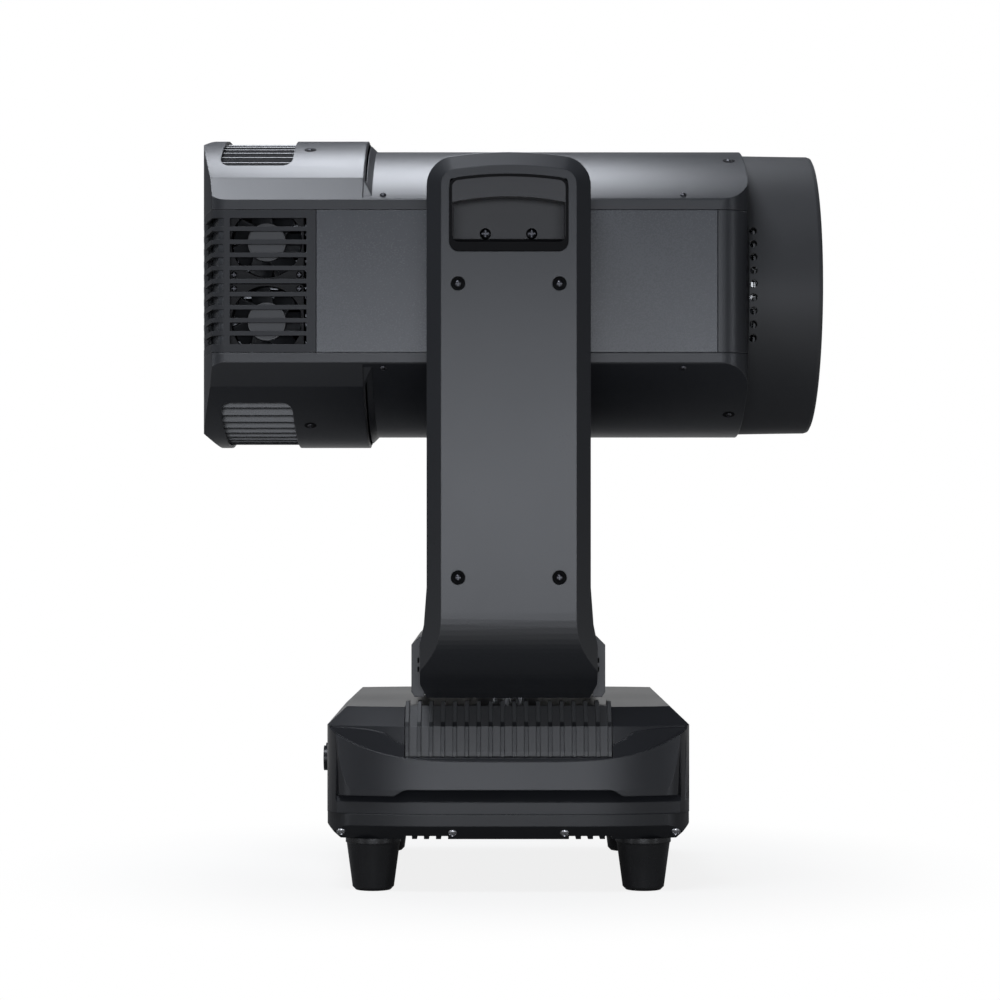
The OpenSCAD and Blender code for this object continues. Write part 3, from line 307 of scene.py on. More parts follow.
# %% [markdown]
# The finned strips in the base are cast. The fins are black, and the wall between them is paler and
# rougher. Two materials would need the faces sorted by hand, but the wall lies a few millimetres
# behind the fins' front, so its depth tells it apart. The strip leans back as it rises, and the plane
# from which the depth is taken leans with it.

# %% Finned strips
FIN_FRONT_Y = 0.1995
FIN_FRONT_Z = 0.131
FIN_LEAN = 0.167
WALL_DEPTH = 0.002


def fin_enamel():
    made = Finish("fin_enamel")
    place = made.node("SeparateXYZ", Vector=made.place())
    side = Field(made.tree, place.outputs["Y"])
    height = Field(made.tree, place.outputs["Z"])
    front = FIN_FRONT_Y - (height - FIN_FRONT_Z) * FIN_LEAN
    deep = front.maths("GREATER_THAN", front - side.maths("ABSOLUTE", side, 0.0), WALL_DEPTH)
    speck = made.noise(900.0, detail=3.0, roughness=0.7)
    dark = made.between(speck, (0.010, 0.011, 0.012), (0.022, 0.023, 0.025))
    pale = made.between(speck, (0.045, 0.046, 0.047), (0.105, 0.106, 0.108))
    made.set(Base_Color=made.between(deep, dark, pale), Roughness=deep * 0.1 + 0.3)
    made.bump(speck, 0.00008, strength=0.6, edge=0.0009)
    return made.material


FIN_BLACK = fin_enamel()
print("fin nodes", len(FIN_BLACK.node_tree.nodes))

# %% [markdown]
# Every piece of the frame keeps its shape and takes one of these finishes in its material slot. A list
# for each finish shows at a glance what is made of what, and the pieces left over would be printed.

# %% Paint the frame
FINISHES = {
    BASE_COAT: ["base_cover"],
    CHARCOAL: ["yoke_cover", "upper_cover", "lower_cover", "front_bezel", "arm_inner_near",
               "arm_inner_far"],
    ARM_COAT: ["arm_cover_near", "arm_cover_far"],
    PANEL_COAT: ["side_panel_near", "side_panel_far", "rear_panel"],
    HOOD_COAT: ["front_hood"],
    GRILLE_COAT: ["fan_grille_near", "fan_grille_far"],
    PAN_COAT: ["bottom_pan", "connector_panel", "display_panel"],
    HANDLE_BLACK: ["handle_near", "handle_far"],
    FRAME_BLACK: ["fan_frames"],
    FAN_BLACK: ["pan_motor", "tilt_motor"] + [n for n in nodes if n.startswith("fan_rotor")],
    FIN_BLACK: ["base_heat_sinks"],
    LOUVRE_GREY: ["vent_louvres"],
    BUTTON_GREY: [n for n in nodes if n.startswith("button_")],
    SOCKET_BLACK: ["power_connectors", "pan_belt", "tilt_belt"],
    BOARD_GREEN: ["control_board"],
    RUBBER: ["feet"],
    STEEL: ["base_screws", "head_screws", "bracket_sockets", "pan_spindle", "yoke_plate", "bearings",
            "arm_plate_near", "arm_plate_far", "gobo_wheel"],
    DARK_STEEL: ["arm_screws"],
    ALLOY: ["data_connectors", "heat_sink", "light_engine", "head_chassis", "tilt_pulley",
            "pan_motor_pulley", "tilt_motor_pulley", "colour_wheel", "zoom_carriage", "power_supply"],
    GLASS: ["front_lens"],
    SCREEN: ["display_screen"],
}
for finish, wearers in FINISHES.items():
    for name in wearers:
        nodes[name].data.materials.clear()
        nodes[name].data.materials.append(finish)
bare = set(nodes) - {name for wearers in FINISHES.values() for name in wearers}
print("finished nodes", len(nodes) - len(bare), "bare", sorted(bare))

# %% [markdown]
# ## Repeated pieces
# Screws, pins, blades and marks come many at a time. Each kind is one Geometry Nodes tree with its
# sizes as named inputs: it stands a small shape on every point of a mesh and turns it to the point's
# own direction. A list of places and directions is then all that a new row needs. Copied objects would
# look the same, but hide the rule.

# %% Geometry Nodes in Python
CREASE = 35


def dress(name, mesh, body, crease=CREASE):
    """A finished piece: smooth up to the crease angle, in degrees, and riding on its body."""
    mesh.shade_smooth()
    mesh.set_sharp_from_angle(angle=math.radians(crease))
    piece = bpy.data.objects.new(name, mesh)
    bpy.context.scene.collection.objects.link(piece)
    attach(piece, body)
    print(name, len(mesh.polygons), "faces on", body)
    return piece


class Recipe(Tree):
    """A Geometry Nodes tree with named inputs that stands one shape on many places."""

    def __init__(self, name, **inputs):
        super().__init__(bpy.data.node_groups.new(name, "GeometryNodeTree"))
        self.keys = {}
        sockets = self.tree.interface
        sockets.new_socket("Places", in_out="INPUT", socket_type="NodeSocketGeometry")
        for key, value in inputs.items():
            kind = "NodeSocketInt" if isinstance(value, int) else "NodeSocketFloat"
            made = sockets.new_socket(key, in_out="INPUT", socket_type=kind)
            made.default_value = value
            self.keys[key] = made.identifier
        made = sockets.new_socket("Finish", in_out="INPUT", socket_type="NodeSocketMaterial")
        self.keys["Finish"] = made.identifier
        sockets.new_socket("Shape", in_out="OUTPUT", socket_type="NodeSocketGeometry")
        self.inlet = self.node("NodeGroupInput").outputs

    def size(self, key):
        return Field(self.tree, self.inlet[key])

    def vector(self, x=0.0, y=0.0, z=0.0):
        return self.node("ShaderNodeCombineXYZ", X=x, Y=y, Z=z).outputs[0]

    def shift(self, shape, z, turn=0.0):
        moved = self.node("GeometryNodeTransform", Geometry=shape, Translation=self.vector(z=z),
                          Rotation=self.vector(z=turn))
        return moved.outputs[0]

    def stand(self, shape):
        """Put the shape on every place, turned to the place's direction, as one painted mesh."""
        aim = self.node("GeometryNodeInputNamedAttribute", {"data_type": "FLOAT_VECTOR"}, Name="aim")
        turned = self.node("FunctionNodeAlignRotationToVector", {"axis": "Z"}, Vector=aim.outputs[0])
        row = self.node("GeometryNodeInstanceOnPoints", Points=self.inlet["Places"], Instance=shape,
                        Rotation=turned.outputs[0])
        solid = self.node("GeometryNodeRealizeInstances", Geometry=row.outputs[0])
        painted = self.node("GeometryNodeSetMaterial", Geometry=solid.outputs[0],
                            Material=self.inlet["Finish"])
        self.node("NodeGroupOutput", Shape=painted.outputs[0])

    def make(self, name, places, body, slot, finish, **sizes):
        points = bpy.data.meshes.new(name)
        points.from_pydata([place for place, _ in places], [], [])
        aims = points.attributes.new("aim", "FLOAT_VECTOR", "POINT")
        for item, (_, direction) in zip(aims.data, places):
            item.vector = direction
        holder = bpy.data.objects.new(name + "_places", points)
        bpy.context.scene.collection.objects.link(holder)
        modifier = holder.modifiers.new("recipe", "NODES")
        modifier.node_group = self.tree
        for key, value in sizes.items():
            modifier[self.keys[key]] = value
        modifier[self.keys["Finish"]] = finish
        ready = holder.evaluated_get(bpy.context.evaluated_depsgraph_get())
        mesh = bpy.data.meshes.new_from_object(ready)
        bpy.data.objects.remove(holder)
        return dress(name, mesh, body)


print("edges sharper than", CREASE, "degrees stay sharp")

# %% [markdown]
# Three shapes are enough here: a screw head, a plate and a peg. The screw is a slice of a ball with two
# bars cut out of it, as the forming punch would press it. A bump could only draw the cross, and the cut
# catches light as the real one does. Its sizes are shares of the head's width.

# %% Screw, plate and peg
DOME_R = 0.6
DOME_SINK = -0.28
DOME_SIDES = 24
CROSS_LONG = 0.64
CROSS_WIDE = 0.15
CROSS_TALL = 0.4
CROSS_RISE = 0.34


def screw_recipe():
    """A domed head with a cross recess."""
    made = Recipe("screw_head", Width=0.006)
    width = made.size("Width")
    ball = made.node("GeometryNodeMeshUVSphere", Segments=DOME_SIDES, Rings=DOME_SIDES,
                     Radius=width * DOME_R)
    barrel = made.node("GeometryNodeMeshCylinder", Vertices=DOME_SIDES, Radius=width * 0.5, Depth=width)
    halves = [made.shift(ball.outputs[0], width * DOME_SINK), made.shift(barrel.outputs[0], width * 0.5)]
    dome = made.node("GeometryNodeMeshBoolean", {"operation": "INTERSECT", "solver": "EXACT"},
                     Mesh_2=halves)
    bars = []
    for along, across in ((CROSS_LONG, CROSS_WIDE), (CROSS_WIDE, CROSS_LONG)):
        size = made.vector(width * along, width * across, width * CROSS_TALL)
        bar = made.node("GeometryNodeMeshCube", Size=size)
        bars.append(made.shift(bar.outputs[0], width * CROSS_RISE))
    head = made.node("GeometryNodeMeshBoolean", {"operation": "DIFFERENCE", "solver": "EXACT"},
                     Mesh_1=dome.outputs[0], Mesh_2=bars)
    made.stand(head.outputs[0])
    return made


def plate_recipe():
    """A plain cuboid: blades, contacts and bars on a screen."""
    made = Recipe("plate", Along=0.01, Across=0.01, Thick=0.001)
    size = made.vector(made.size("Along"), made.size("Across"), made.size("Thick"))
    cube = made.node("GeometryNodeMeshCube", Size=size)
    made.stand(cube.outputs[0])
    return made


def peg_recipe():
    """A prism or, with many sides, a round peg: pins, discs and pointed marks."""
    made = Recipe("peg", Sides=16, Radius=0.001, Thick=0.001, Turn=0.0)
    rod = made.node("GeometryNodeMeshCylinder", Vertices=made.size("Sides"), Radius=made.size("Radius"),
                    Depth=made.size("Thick"))
    made.stand(made.shift(rod.outputs[0], 0.0, made.size("Turn")))
    return made


SCREW = screw_recipe()
PLATE = plate_recipe()
PEG = peg_recipe()
print("recipes", [made.tree.name for made in (SCREW, PLATE, PEG)])

# %% [markdown]
# ## Screws
# The frame has the screws as plain domes. Here each gets its cross recess. Their places could be typed
# in again, but they are read off the frame's own meshes, so they always fit: on a screw the flat
# underside is the largest face, and its direction gives the axis. Where both ends are alike, the one
# nearer the middle plane is the underside.

# %% Screw heads
MERGE = 0.00001
TIE_BREAK = 0.00001
NEAR = 0.0001
FACING = 0.99


def merged(node):
    shape = bmesh.new()
    shape.from_mesh(nodes[node].data)
    bmesh.ops.remove_doubles(shape, verts=shape.verts, dist=MERGE)
    return shape


def islands(shape):
    """The loose parts of a shape as lists of faces, always in the mesh's own order."""
    seen = set()
    for first in shape.faces:
        if first in seen:
            continue
        seen.add(first)
        island = [first]
        for face in island:
            for edge in face.edges:
                fresh = [f for f in edge.link_faces if f not in seen]
                seen.update(fresh)
                island += fresh
        yield island


def screw_seats(node):
    """Seat, axis and width of every screw in a node."""
    shape = merged(node)
    seats = []
    for island in islands(shape):
        flats = {}
        for face in island:
            key = tuple(round(v, 2) for v in face.normal)
            outward = key[1] * face.verts[0].co.y
            flats[key] = flats.get(key, 0) + face.calc_area() - outward * TIE_BREAK
        axis = -Vector(max(flats, key=flats.get)).normalized()
        corners = {vert for face in island for vert in face.verts}
        under = [face for face in island if face.normal.dot(axis) < -FACING]
        flat = dict.fromkeys(vert for face in under for vert in face.verts)
        level = max(vert.co.dot(axis) for vert in flat)
        rim = [vert.co for vert in flat if vert.co.dot(axis) > level - NEAR]
        seat = sum(rim, Vector()) / len(rim)
        width = 2 * max((vert.co - seat - axis * (vert.co - seat).dot(axis)).length for vert in corners)
        seats.append((seat, axis, width))
    shape.free()
    return seats


def cross_heads(node, body, finish, moved=lambda seat: seat):
    seats = screw_seats(node)
    width = seats[0][2]
    print(node, "screws", len(seats), "width", round(width * 1000, 1), "mm")
    places = [(moved(seat), axis) for seat, axis, _ in seats]
    heads = SCREW.make(node + "_crossed", places, body, "steel", finish, Width=width)
    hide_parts(node)


cross_heads("head_screws", "head", DARK_STEEL)

# %% [markdown]
# ## Bowed base
# The long faces of the base are bowed in plan: nearly flat in the middle and falling back towards the
# corners. Under the bulge a band slants back to a crease. A lattice could bend the frame's pieces, but
# a formula says exactly where each point goes. The cover, the pan and their screws are copies of the
# plain ones, cut into strips and pushed back by the same curve.

# %% Bowed base
BOW_START = 0.065
BOW_END = 0.170
BOW_DEPTH = 0.019
BOW_STEP = 0.004
BOW_Y = (0.115, 0.178)
BOW_CREASE = 4
CREASE_Z = 0.0970
GROOVE_H = 0.012
GROOVE_DEPTH = 0.007
BAND_Y = 0.2075


def share(value, low, high):
    return min(1.0, max(0.0, (value - low) / (high - low)))


def bow(point):
    """Where a point of the base lies once its long faces are bowed."""
    along = max(0.0, abs(point.x) - BOW_START) / (BOW_END - BOW_START)
    back = BOW_DEPTH * along ** 2 * share(abs(point.y), *BOW_Y)
    return Vector((point.x, point.y - math.copysign(back, point.y), point.z))


def undercut(point):
    """Where a point of the band under the bulge lies once the band slants back to the crease."""
    deep = share(point.z, CREASE_Z - GROOVE_H, CREASE_Z)
    if not BOW_Y[1] < abs(point.y) < BAND_Y + NEAR or point.z > CREASE_Z + NEAR:
        deep = 0.0
    return Vector((point.x, point.y - math.copysign(deep * GROOVE_DEPTH, point.y), point.z))


def cut_at(shape, place, across, clear=False):
    everything = shape.verts[:] + shape.edges[:] + shape.faces[:]
    bmesh.ops.bisect_plane(shape, geom=everything, plane_co=place, plane_no=across, clear_outer=clear)


def poured(shape, name, finish):
    """A mesh in one finish from an edited copy, without the normals of the plain piece."""
    mesh = bpy.data.meshes.new(name)
    shape.to_mesh(mesh)
    shape.free()
    stale = mesh.attributes.get("custom_normal")
    if stale:
        mesh.attributes.remove(stale)
    mesh.materials.clear()
    mesh.materials.append(finish)
    return mesh


def bowed(node, finish):
    whole = merged(node)
    strips = int((BOW_END - BOW_START) / BOW_STEP)
    for side in (-1, 1):
        for i in range(strips + 1):
            cut_at(whole, (side * (BOW_START + i * BOW_STEP), 0, 0), (1, 0, 0))
    for side in (-1, 1):
        for y in BOW_Y:
            cut_at(whole, (0, side * y, 0), (0, 1, 0))
    cut_at(whole, (0, 0, CREASE_Z - GROOVE_H), (0, 0, 1))
    for vert in whole.verts:
        vert.co = bow(undercut(vert.co))
    mesh = poured(whole, node + "_bowed", finish)
    piece = dress(node + "_bowed", mesh, "base", BOW_CREASE)
    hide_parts(node)


bowed("base_cover", BASE_COAT)
bowed("bottom_pan", PAN_COAT)
cross_heads("base_screws", "base", STEEL, bow)

# %% [markdown]
# Four more screws hold each half of the shell, near the shoulders of the crown. They lie deep in shade,
# so each shows as a black disc of painted shade with a screw in it. Holes would need a boolean on the
# shell, and a thin disc looks the same from outside.

# %% Sunk screws in the crown
CROWN_R = 0.244
REAR_CROWN_Z = -0.092
TUBE_CROWN_Z = -0.1025
REAR_SUNK_X = -0.1907
TUBE_SUNK_X = 0.2135
SUNK_TURN = math.radians(22.7)
sunk = []
for x, centre in ((REAR_SUNK_X, REAR_CROWN_Z), (TUBE_SUNK_X, TUBE_CROWN_Z)):
    for side in (-1, 1):
        for up in (-1, 1):
            out = Vector((0, side * math.sin(SUNK_TURN), up * math.cos(SUNK_TURN)))
            sunk.append((Vector((x, 0, TILT_Z + up * centre)) + out * CROWN_R, out))
# The black discs are painted shade: they stand in for the dark inside the deep screw holes.
PEG.make("sunk_screw_wells", sunk, "head", "black_plastic", PAINTED_SHADE,
         Sides=32, Radius=0.0058, Thick=0.0005)
SCREW.make("sunk_screws", sunk, "head", "steel", DARK_STEEL, Width=0.0055)

# %% [markdown]
# ## Arm heads
# On the real arms the bevel sweeps round the arched top in one run. The frame mitres it at the corners,
# so the top of each arm cover is made again. A Bevel modifier would follow the facets of the old top.
# One outline with tangent arcs, drawn at two insets, gives wall, bevel and face without a kink.

# %% Outlines and blocks
GRIP_HALF = 0.0545
GRIP_TOP = 0.6635
GRIP_BOTTOM = 0.5925
GRIP_CORNER_R = 0.009
GRIP_ARCH_R = 0.330
CORNER_STEPS = 8
ARC_STEPS = 10
DISC_STEPS = 32


def arch(half, top, arch_r, corner_r, foot, inset):
    """Points of an arched outline from its right foot to its left foot, moved inwards by the inset."""
    middle = top - arch_r
    corner_x = half - corner_r
    corner_z = middle + math.sqrt((arch_r - corner_r) ** 2 - corner_x ** 2)
    start = math.atan2(corner_z - middle, corner_x)
    small = corner_r - inset
    large = arch_r - inset
    points = [(half - inset, foot)]
    for i in range(ARC_STEPS + 1):
        turn = start * i / ARC_STEPS
        points.append((corner_x + small * math.cos(turn), corner_z + small * math.sin(turn)))
    for i in range(1, 2 * ARC_STEPS):
        turn = start + (math.pi - 2 * start) * i / (2 * ARC_STEPS)
        points.append((large * math.cos(turn), middle + large * math.sin(turn)))
    left = [(-x, z) for x, z in reversed(points[:ARC_STEPS + 2])]
    return points + left


def grip_loop(inset, raised):
    """The hand hole's outline, closed round its lower corners, with its foot raised."""
    low_z = GRIP_BOTTOM + raised + GRIP_CORNER_R
    points = arch(GRIP_HALF, GRIP_TOP, GRIP_ARCH_R, GRIP_CORNER_R, low_z, inset)
    reach = GRIP_CORNER_R - inset
    corner = []
    for i in range(1, CORNER_STEPS + 1):
        turn = math.pi + math.pi / 2 * i / CORNER_STEPS
        x = GRIP_CORNER_R - GRIP_HALF + reach * math.cos(turn)
        corner.append((x, low_z + reach * math.sin(turn)))
    return points + corner + [(-x, z) for x, z in reversed(corner)][:-1]


def disc(x, z, radius):
    turns = [2 * math.pi * i / DISC_STEPS for i in range(DISC_STEPS)]
    return [(x + radius * math.cos(turn), z + radius * math.sin(turn)) for turn in turns]


def skin(side, loops, capped):
    """A skin through loops of (points, distance from the middle plane), capped or closed on itself."""
    shape = bmesh.new()
    rings = [[shape.verts.new((x, side * y, z)) for x, z in points] for points, y in loops]
    followers = rings[1:] if capped else rings[1:] + rings[:1]
    for low, high in zip(rings, followers):
        for i in range(len(low)):
            j = (i + 1) % len(low)
            shape.faces.new((low[i], low[j], high[j], high[i]))
    if capped:
        shape.faces.new(rings[0])
        shape.faces.new(rings[-1])
    bmesh.ops.recalc_face_normals(shape, faces=shape.faces)
    return shape


print("points round the hand hole", len(grip_loop(0, 0)))

# %% [markdown]
# A boolean hollows the new top and opens the hand hole and the screw holes. Below it a copy of the
# frame's own cover goes on, with its lower bend a little further down. The two are welded where they
# meet, and only the small faces of the rounded parts are shaded smooth, so the flat face stays flat.

# %% Arm heads
ARM_IN = 0.172
ARM_OUT = 0.240
ARM_HALF = 0.0755
ARM_TOP = 0.685
ARM_ARCH_R = 0.350
ARM_CORNER_R = 0.027
ARM_BEVEL = 0.0135
INNER_BEVEL = 0.0147
ARM_WALL = 0.003
CUT_Z = 0.530
OVERLAP = 0.01
WELD = 0.00005
ARM_FOOT = 0.181
BEND_TOP = 0.285
BEND_DROP = 0.011
FACE_SCREW_X = 0.0464
FACE_SCREW_Z = 0.563
FACE_HOLE_R = 0.0065
FLAT_AREA = 0.001


def block_through(side, loops):
    mesh = bpy.data.meshes.new("block")
    shape = skin(side, loops, True)
    shape.to_mesh(mesh)
    shape.free()
    block = bpy.data.objects.new("block", mesh)
    bpy.context.scene.collection.objects.link(block)
    return block


def cut_away(block, cutters):
    for cutter in cutters:
        cut = block.modifiers.new("cut", "BOOLEAN")
        cut.operation = "DIFFERENCE"
        cut.solver = "EXACT"
        cut.object = cutter
    ready = block.evaluated_get(bpy.context.evaluated_depsgraph_get())
    mesh = bpy.data.meshes.new_from_object(ready)
    for item in [block] + cutters:
        bpy.data.objects.remove(item)
    return mesh


def arched_top(side):
    """The hollow top of an arm cover, open at its foot."""
    def outline(inset, foot=CUT_Z):
        return arch(ARM_HALF, ARM_TOP, ARM_ARCH_R, ARM_CORNER_R, foot, inset)

    def bore(points):
        return block_through(side, [(points, ARM_OUT - OVERLAP), (points, ARM_OUT + OVERLAP)])

    block = block_through(side, [(outline(0), ARM_IN),
                                 (outline(0), ARM_OUT - ARM_BEVEL),
                                 (outline(ARM_BEVEL), ARM_OUT)])
    below = CUT_Z - OVERLAP
    hollow = block_through(side, [(outline(ARM_WALL, below), ARM_IN - OVERLAP),
                                  (outline(ARM_WALL, below), ARM_OUT - INNER_BEVEL),
                                  (outline(INNER_BEVEL, below), ARM_OUT - ARM_WALL)])
    hand = bore(grip_loop(0, 0))
    holes = [bore(disc(x, FACE_SCREW_Z, FACE_HOLE_R)) for x in (-FACE_SCREW_X, FACE_SCREW_X)]
    upper = cut_away(block, [hollow, hand] + holes)
    shape = bmesh.new()
    shape.from_mesh(upper)
    foot = [face for face in shape.faces if max(abs(vert.co.z - CUT_Z) for vert in face.verts) < NEAR]
    bmesh.ops.delete(shape, geom=foot, context="FACES")
    shape.to_mesh(upper)
    shape.free()
    return upper


def arm_head(node, side):
    upper = arched_top(side)
    whole = merged(node)
    cut_at(whole, (0, 0, CUT_Z), (0, 0, 1), clear=True)
    for vert in whole.verts:
        if vert.co.z < BEND_TOP:
            part = (vert.co.z - ARM_FOOT) / (BEND_TOP - ARM_FOOT)
            vert.co.z -= BEND_DROP * math.sin(math.pi * part ** 2)
    whole.from_mesh(upper)
    bmesh.ops.remove_doubles(whole, verts=whole.verts, dist=WELD)
    mesh = poured(whole, node + "_arched", ARM_COAT)
    piece = dress(node + "_arched", mesh, "yoke")
    for face in mesh.polygons:
        face.use_smooth = face.center.z > CUT_Z and face.area < FLAT_AREA
    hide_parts(node)


arm_head("arm_cover_near", -1)
arm_head("arm_cover_far", 1)

# %% [markdown]
# The handle is a separate moulding, and a black shadow gap runs round it, widest along its lower lip. A
# plain gap would be lit by the lamps in front of it, so a thin black frame, a fraction of a millimetre
# proud, paints that shadow in. The arm screws lie in wells whose shade is painted as black discs.

# %% Handle frame and arm screws
LIP = 0.0085
FRAME_INSET = 0.0026
FRAME_GAP = 0.0001
FRAME_BACK = ARM_OUT - 0.0002
FRAME_FRONT = ARM_OUT + 0.0003
GRIP_SCREW_MAX = 0.009
GRIP_SCREW_DROP = Vector((0, 0, 0.002))
WELL_RISE = 0.004
FACE_SCREW_RISE = 0.0006
outer = grip_loop(FRAME_GAP, 0.0)
inner = grip_loop(FRAME_INSET, LIP - FRAME_INSET)
frame_loops = [(outer, FRAME_BACK), (outer, FRAME_FRONT), (inner, FRAME_FRONT), (inner, FRAME_BACK)]
# Painted shadow: each frame is a near-black strip where the gap round the handle lies in shade.
for name, side in (("near", -1), ("far", 1)):
    mesh = poured(skin(side, frame_loops, False), "handle_gap_" + name, PAINTED_SHADE)
    dress("handle_gap_" + name, mesh, "yoke")
grip_seats = []
wells = []
for seat, axis, width in screw_seats("arm_screws"):
    if width < GRIP_SCREW_MAX:
        grip_seats.append((seat - GRIP_SCREW_DROP, axis))
    else:
        wells.append((seat + axis * WELL_RISE, axis))
face_seats = [(seat + axis * FACE_SCREW_RISE, axis) for seat, axis in wells]
grips = SCREW.make("grip_screws", grip_seats, "yoke", "steel", DARK_STEEL, Width=0.0105)
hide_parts("arm_screws")
# The well discs are painted shade for the dark inside the screw holes.
PEG.make("arm_screw_wells", wells, "yoke", "black_plastic", PAINTED_SHADE,
         Sides=32, Radius=0.0064, Thick=0.0016)
SCREW.make("arm_face_screws", face_seats, "yoke", "steel", DARK_STEEL, Width=0.0072)

# %% [markdown]
# ## Louvres
# Behind the vents stand rows of thin upright blades. Their outer edges follow the crown, so seen from
# the side each blade shows a little less of itself than the one before. The frame has them as curved
# slats. One upright plate on each point of the arc gives the blades, and a narrow plate on each edge
# gives the lip that catches the light.

# %% Louvre blades
VENT_X = (-0.275, -0.206)
BLADE_OVERLAP = 0.004
BLADE_L = VENT_X[1] - VENT_X[0] + BLADE_OVERLAP
BLADE_DROP = 0.0038
BLADE_PITCH = 0.0147
BLADE_PAIRS = 9
BLADE_W = 0.0110
BLADE_T = 0.0016
LIP_W = 0.0011
LIP_T = 0.0006
LIP_SLOPE = 1.5
blades = []
for up in (1, -1):
    for side in (-1, 1):
        face = Vector((0, side, 0))
        rise = Vector((0, 0, up))
        for i in range(BLADE_PAIRS):
            angle = (i + 0.5) * BLADE_PITCH / CROWN_R
            reach = CROWN_R - BLADE_DROP
            edge = Vector((sum(VENT_X) / 2, side * reach * math.sin(angle),
                           TILT_Z + up * (REAR_CROWN_Z + reach * math.cos(angle))))
            blades.append((edge - rise * BLADE_W / 2 - face * BLADE_T / 2, face))
louvres = PLATE.make("louvre_blades", blades, "head", "fin_alloy", LOUVRE_GREY,
                     Along=BLADE_L, Across=BLADE_W, Thick=BLADE_T)
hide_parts("vent_louvres")
lips = []
for seat, face in blades:
    up = 1 if seat.z > TILT_Z else -1
    out = (face + Vector((0, 0, up * LIP_SLOPE))).normalized()
    lips.append((seat + Vector((0, 0, up * BLADE_W / 2)) + face * BLADE_T / 2, out))
PLATE.make("louvre_lips", lips, "head", "fin_alloy", LOUVRE_GREY,
           Along=BLADE_L, Across=LIP_W, Thick=LIP_T)

# %% [markdown]
# ## Fans
# Each fan is held by a screw at every corner of its frame, and its hub carries a plain round cover. The
# screws sit on the head and the covers turn with the rotors, so each cover is a piece of its own.

# %% Fan screws and hub covers
FAN_X = -0.228
FAN_FACE = 0.158
FAN_RISE = 0.03735
CORNER = 0.0308
HUB_FACE = 0.1561
FANS = {"near_upper": (-1, 1), "near_lower": (-1, -1), "far_upper": (1, 1), "far_lower": (1, -1)}
corners = []
for side in (-1, 1):
    for rise in (-FAN_RISE, FAN_RISE):
        for x in (-CORNER, CORNER):
            for z in (-CORNER, CORNER):
                corners.append(((FAN_X + x, side * FAN_FACE, TILT_Z + rise + z), (0, side, 0)))
SCREW.make("fan_screws", corners, "head", "steel", DARK_STEEL, Width=0.0062)
for name, (side, rise) in FANS.items():
    seat = ((FAN_X, side * HUB_FACE, TILT_Z + rise * FAN_RISE), (0, side, 0))
    PEG.make("hub_cover_" + name, [seat], "fan_" + name, "black_plastic", HUB_GREY,
             Sides=40, Radius=0.0165, Thick=0.0006)

# %% [markdown]
# ## Sockets and menu
# The base has sockets at its back end and a small menu at its front end. Pins and contacts stand in the
# sockets, and screws hold the flanges. All are rows of plates, pegs and screws, so the recipes make
# them from lists of places.

# %% Pins, contacts and flange screws
BASE_END = 0.170
PANEL_Z = 0.117
POWER_Y = (-0.085, -0.048)
DATA_Y = (-0.008, 0.026)
NETWORK_Y = (0.060, 0.092)
BACK = (-1, 0, 0)
CONTACT_X = -0.1625
CONTACT_SPOTS = ((-0.0038, -0.0025), (0.0038, -0.0025), (0, 0.0040))
PIN_X = -0.163
PIN_COUNT = 5
PIN_RING_R = 0.005
WIRE_X = -0.1605
WIRE_COUNT = 8
WIRE_PITCH = 0.00105
WIRE_RISE = 0.0055
FLANGE_T = 0.002
FLANGE_SCREW = (0.0095, 0.0122)
PANEL_SCREW_Y = 0.1085
PANEL_SCREW_Z = 0.0215
contacts = [((CONTACT_X, y + dy, PANEL_Z + dz), BACK) for y in POWER_Y for dy, dz in CONTACT_SPOTS]
PLATE.make("power_contacts", contacts, "base", "steel", STEEL,
           Along=0.0013, Across=0.0042, Thick=0.0092)
pins = []
for y in DATA_Y:
    for i in range(PIN_COUNT):
        turn = math.radians(90 + 360 / PIN_COUNT * i)
        spot = (PIN_X, y + PIN_RING_R * math.cos(turn), PANEL_Z + PIN_RING_R * math.sin(turn))
        pins.append((spot, BACK))
PEG.make("data_pins", pins, "base", "steel", BRASS, Sides=12, Radius=0.0009, Thick=0.0102)
wires = []
for y in NETWORK_Y:
    for i in range(WIRE_COUNT):
        across = (i - (WIRE_COUNT - 1) / 2) * WIRE_PITCH
        wires.append(((WIRE_X, y + across, PANEL_Z + WIRE_RISE), BACK))
PLATE.make("network_contacts", wires, "base", "steel", BRASS,
           Along=0.0012, Across=0.0005, Thick=0.0092)
flange_screws = [((-BASE_END - FLANGE_T, y + s * FLANGE_SCREW[0], PANEL_Z + s * FLANGE_SCREW[1]), BACK)
                 for y in POWER_Y + DATA_Y + NETWORK_Y for s in (-1, 1)]
SCREW.make("flange_screws", flange_screws, "base", "steel", STEEL, Width=0.0042)
panel_screws = [((end * BASE_END, y, PANEL_Z + z), (end, 0, 0)) for end in (-1, 1)
                for y in (-PANEL_SCREW_Y, PANEL_SCREW_Y) for z in (-PANEL_SCREW_Z, PANEL_SCREW_Z)]
SCREW.make("panel_screws", panel_screws, "base", "steel", DARK_STEEL, Width=0.006)

# %% [markdown]
# The screen shows bars in place of words: a title and four rows, each with a value. A pattern in the
# screen's material could draw them, but thin plates keep their edges sharp. The buttons bear plain
# marks that move with their caps.

# %% Menu bars and button marks
FRONT = (1, 0, 0)
GLASS_X = 0.1697
BAR_T = 0.0004
TITLE_Y = -0.058
TITLE_RISE = 0.0155
ROW_Y = -0.0745
VALUE_Y = -0.0345
ROW_RISES = [0.0065 - i * 0.0075 for i in range(4)]
CAP_X = 0.1731
FIRST_BUTTON_Y = -0.005
BUTTON_PITCH = 0.020
MARKS = {"mode": (4, 45), "up": (3, 180), "down": (3, 0), "enter": (24, 0)}


def bars(name, y, rises, width, length):
    places = [((GLASS_X, y, PANEL_Z + rise), FRONT) for rise in rises]
    PLATE.make(name, places, "base", "screen_glass", MENU_GLOW, Along=width, Across=length, Thick=BAR_T)


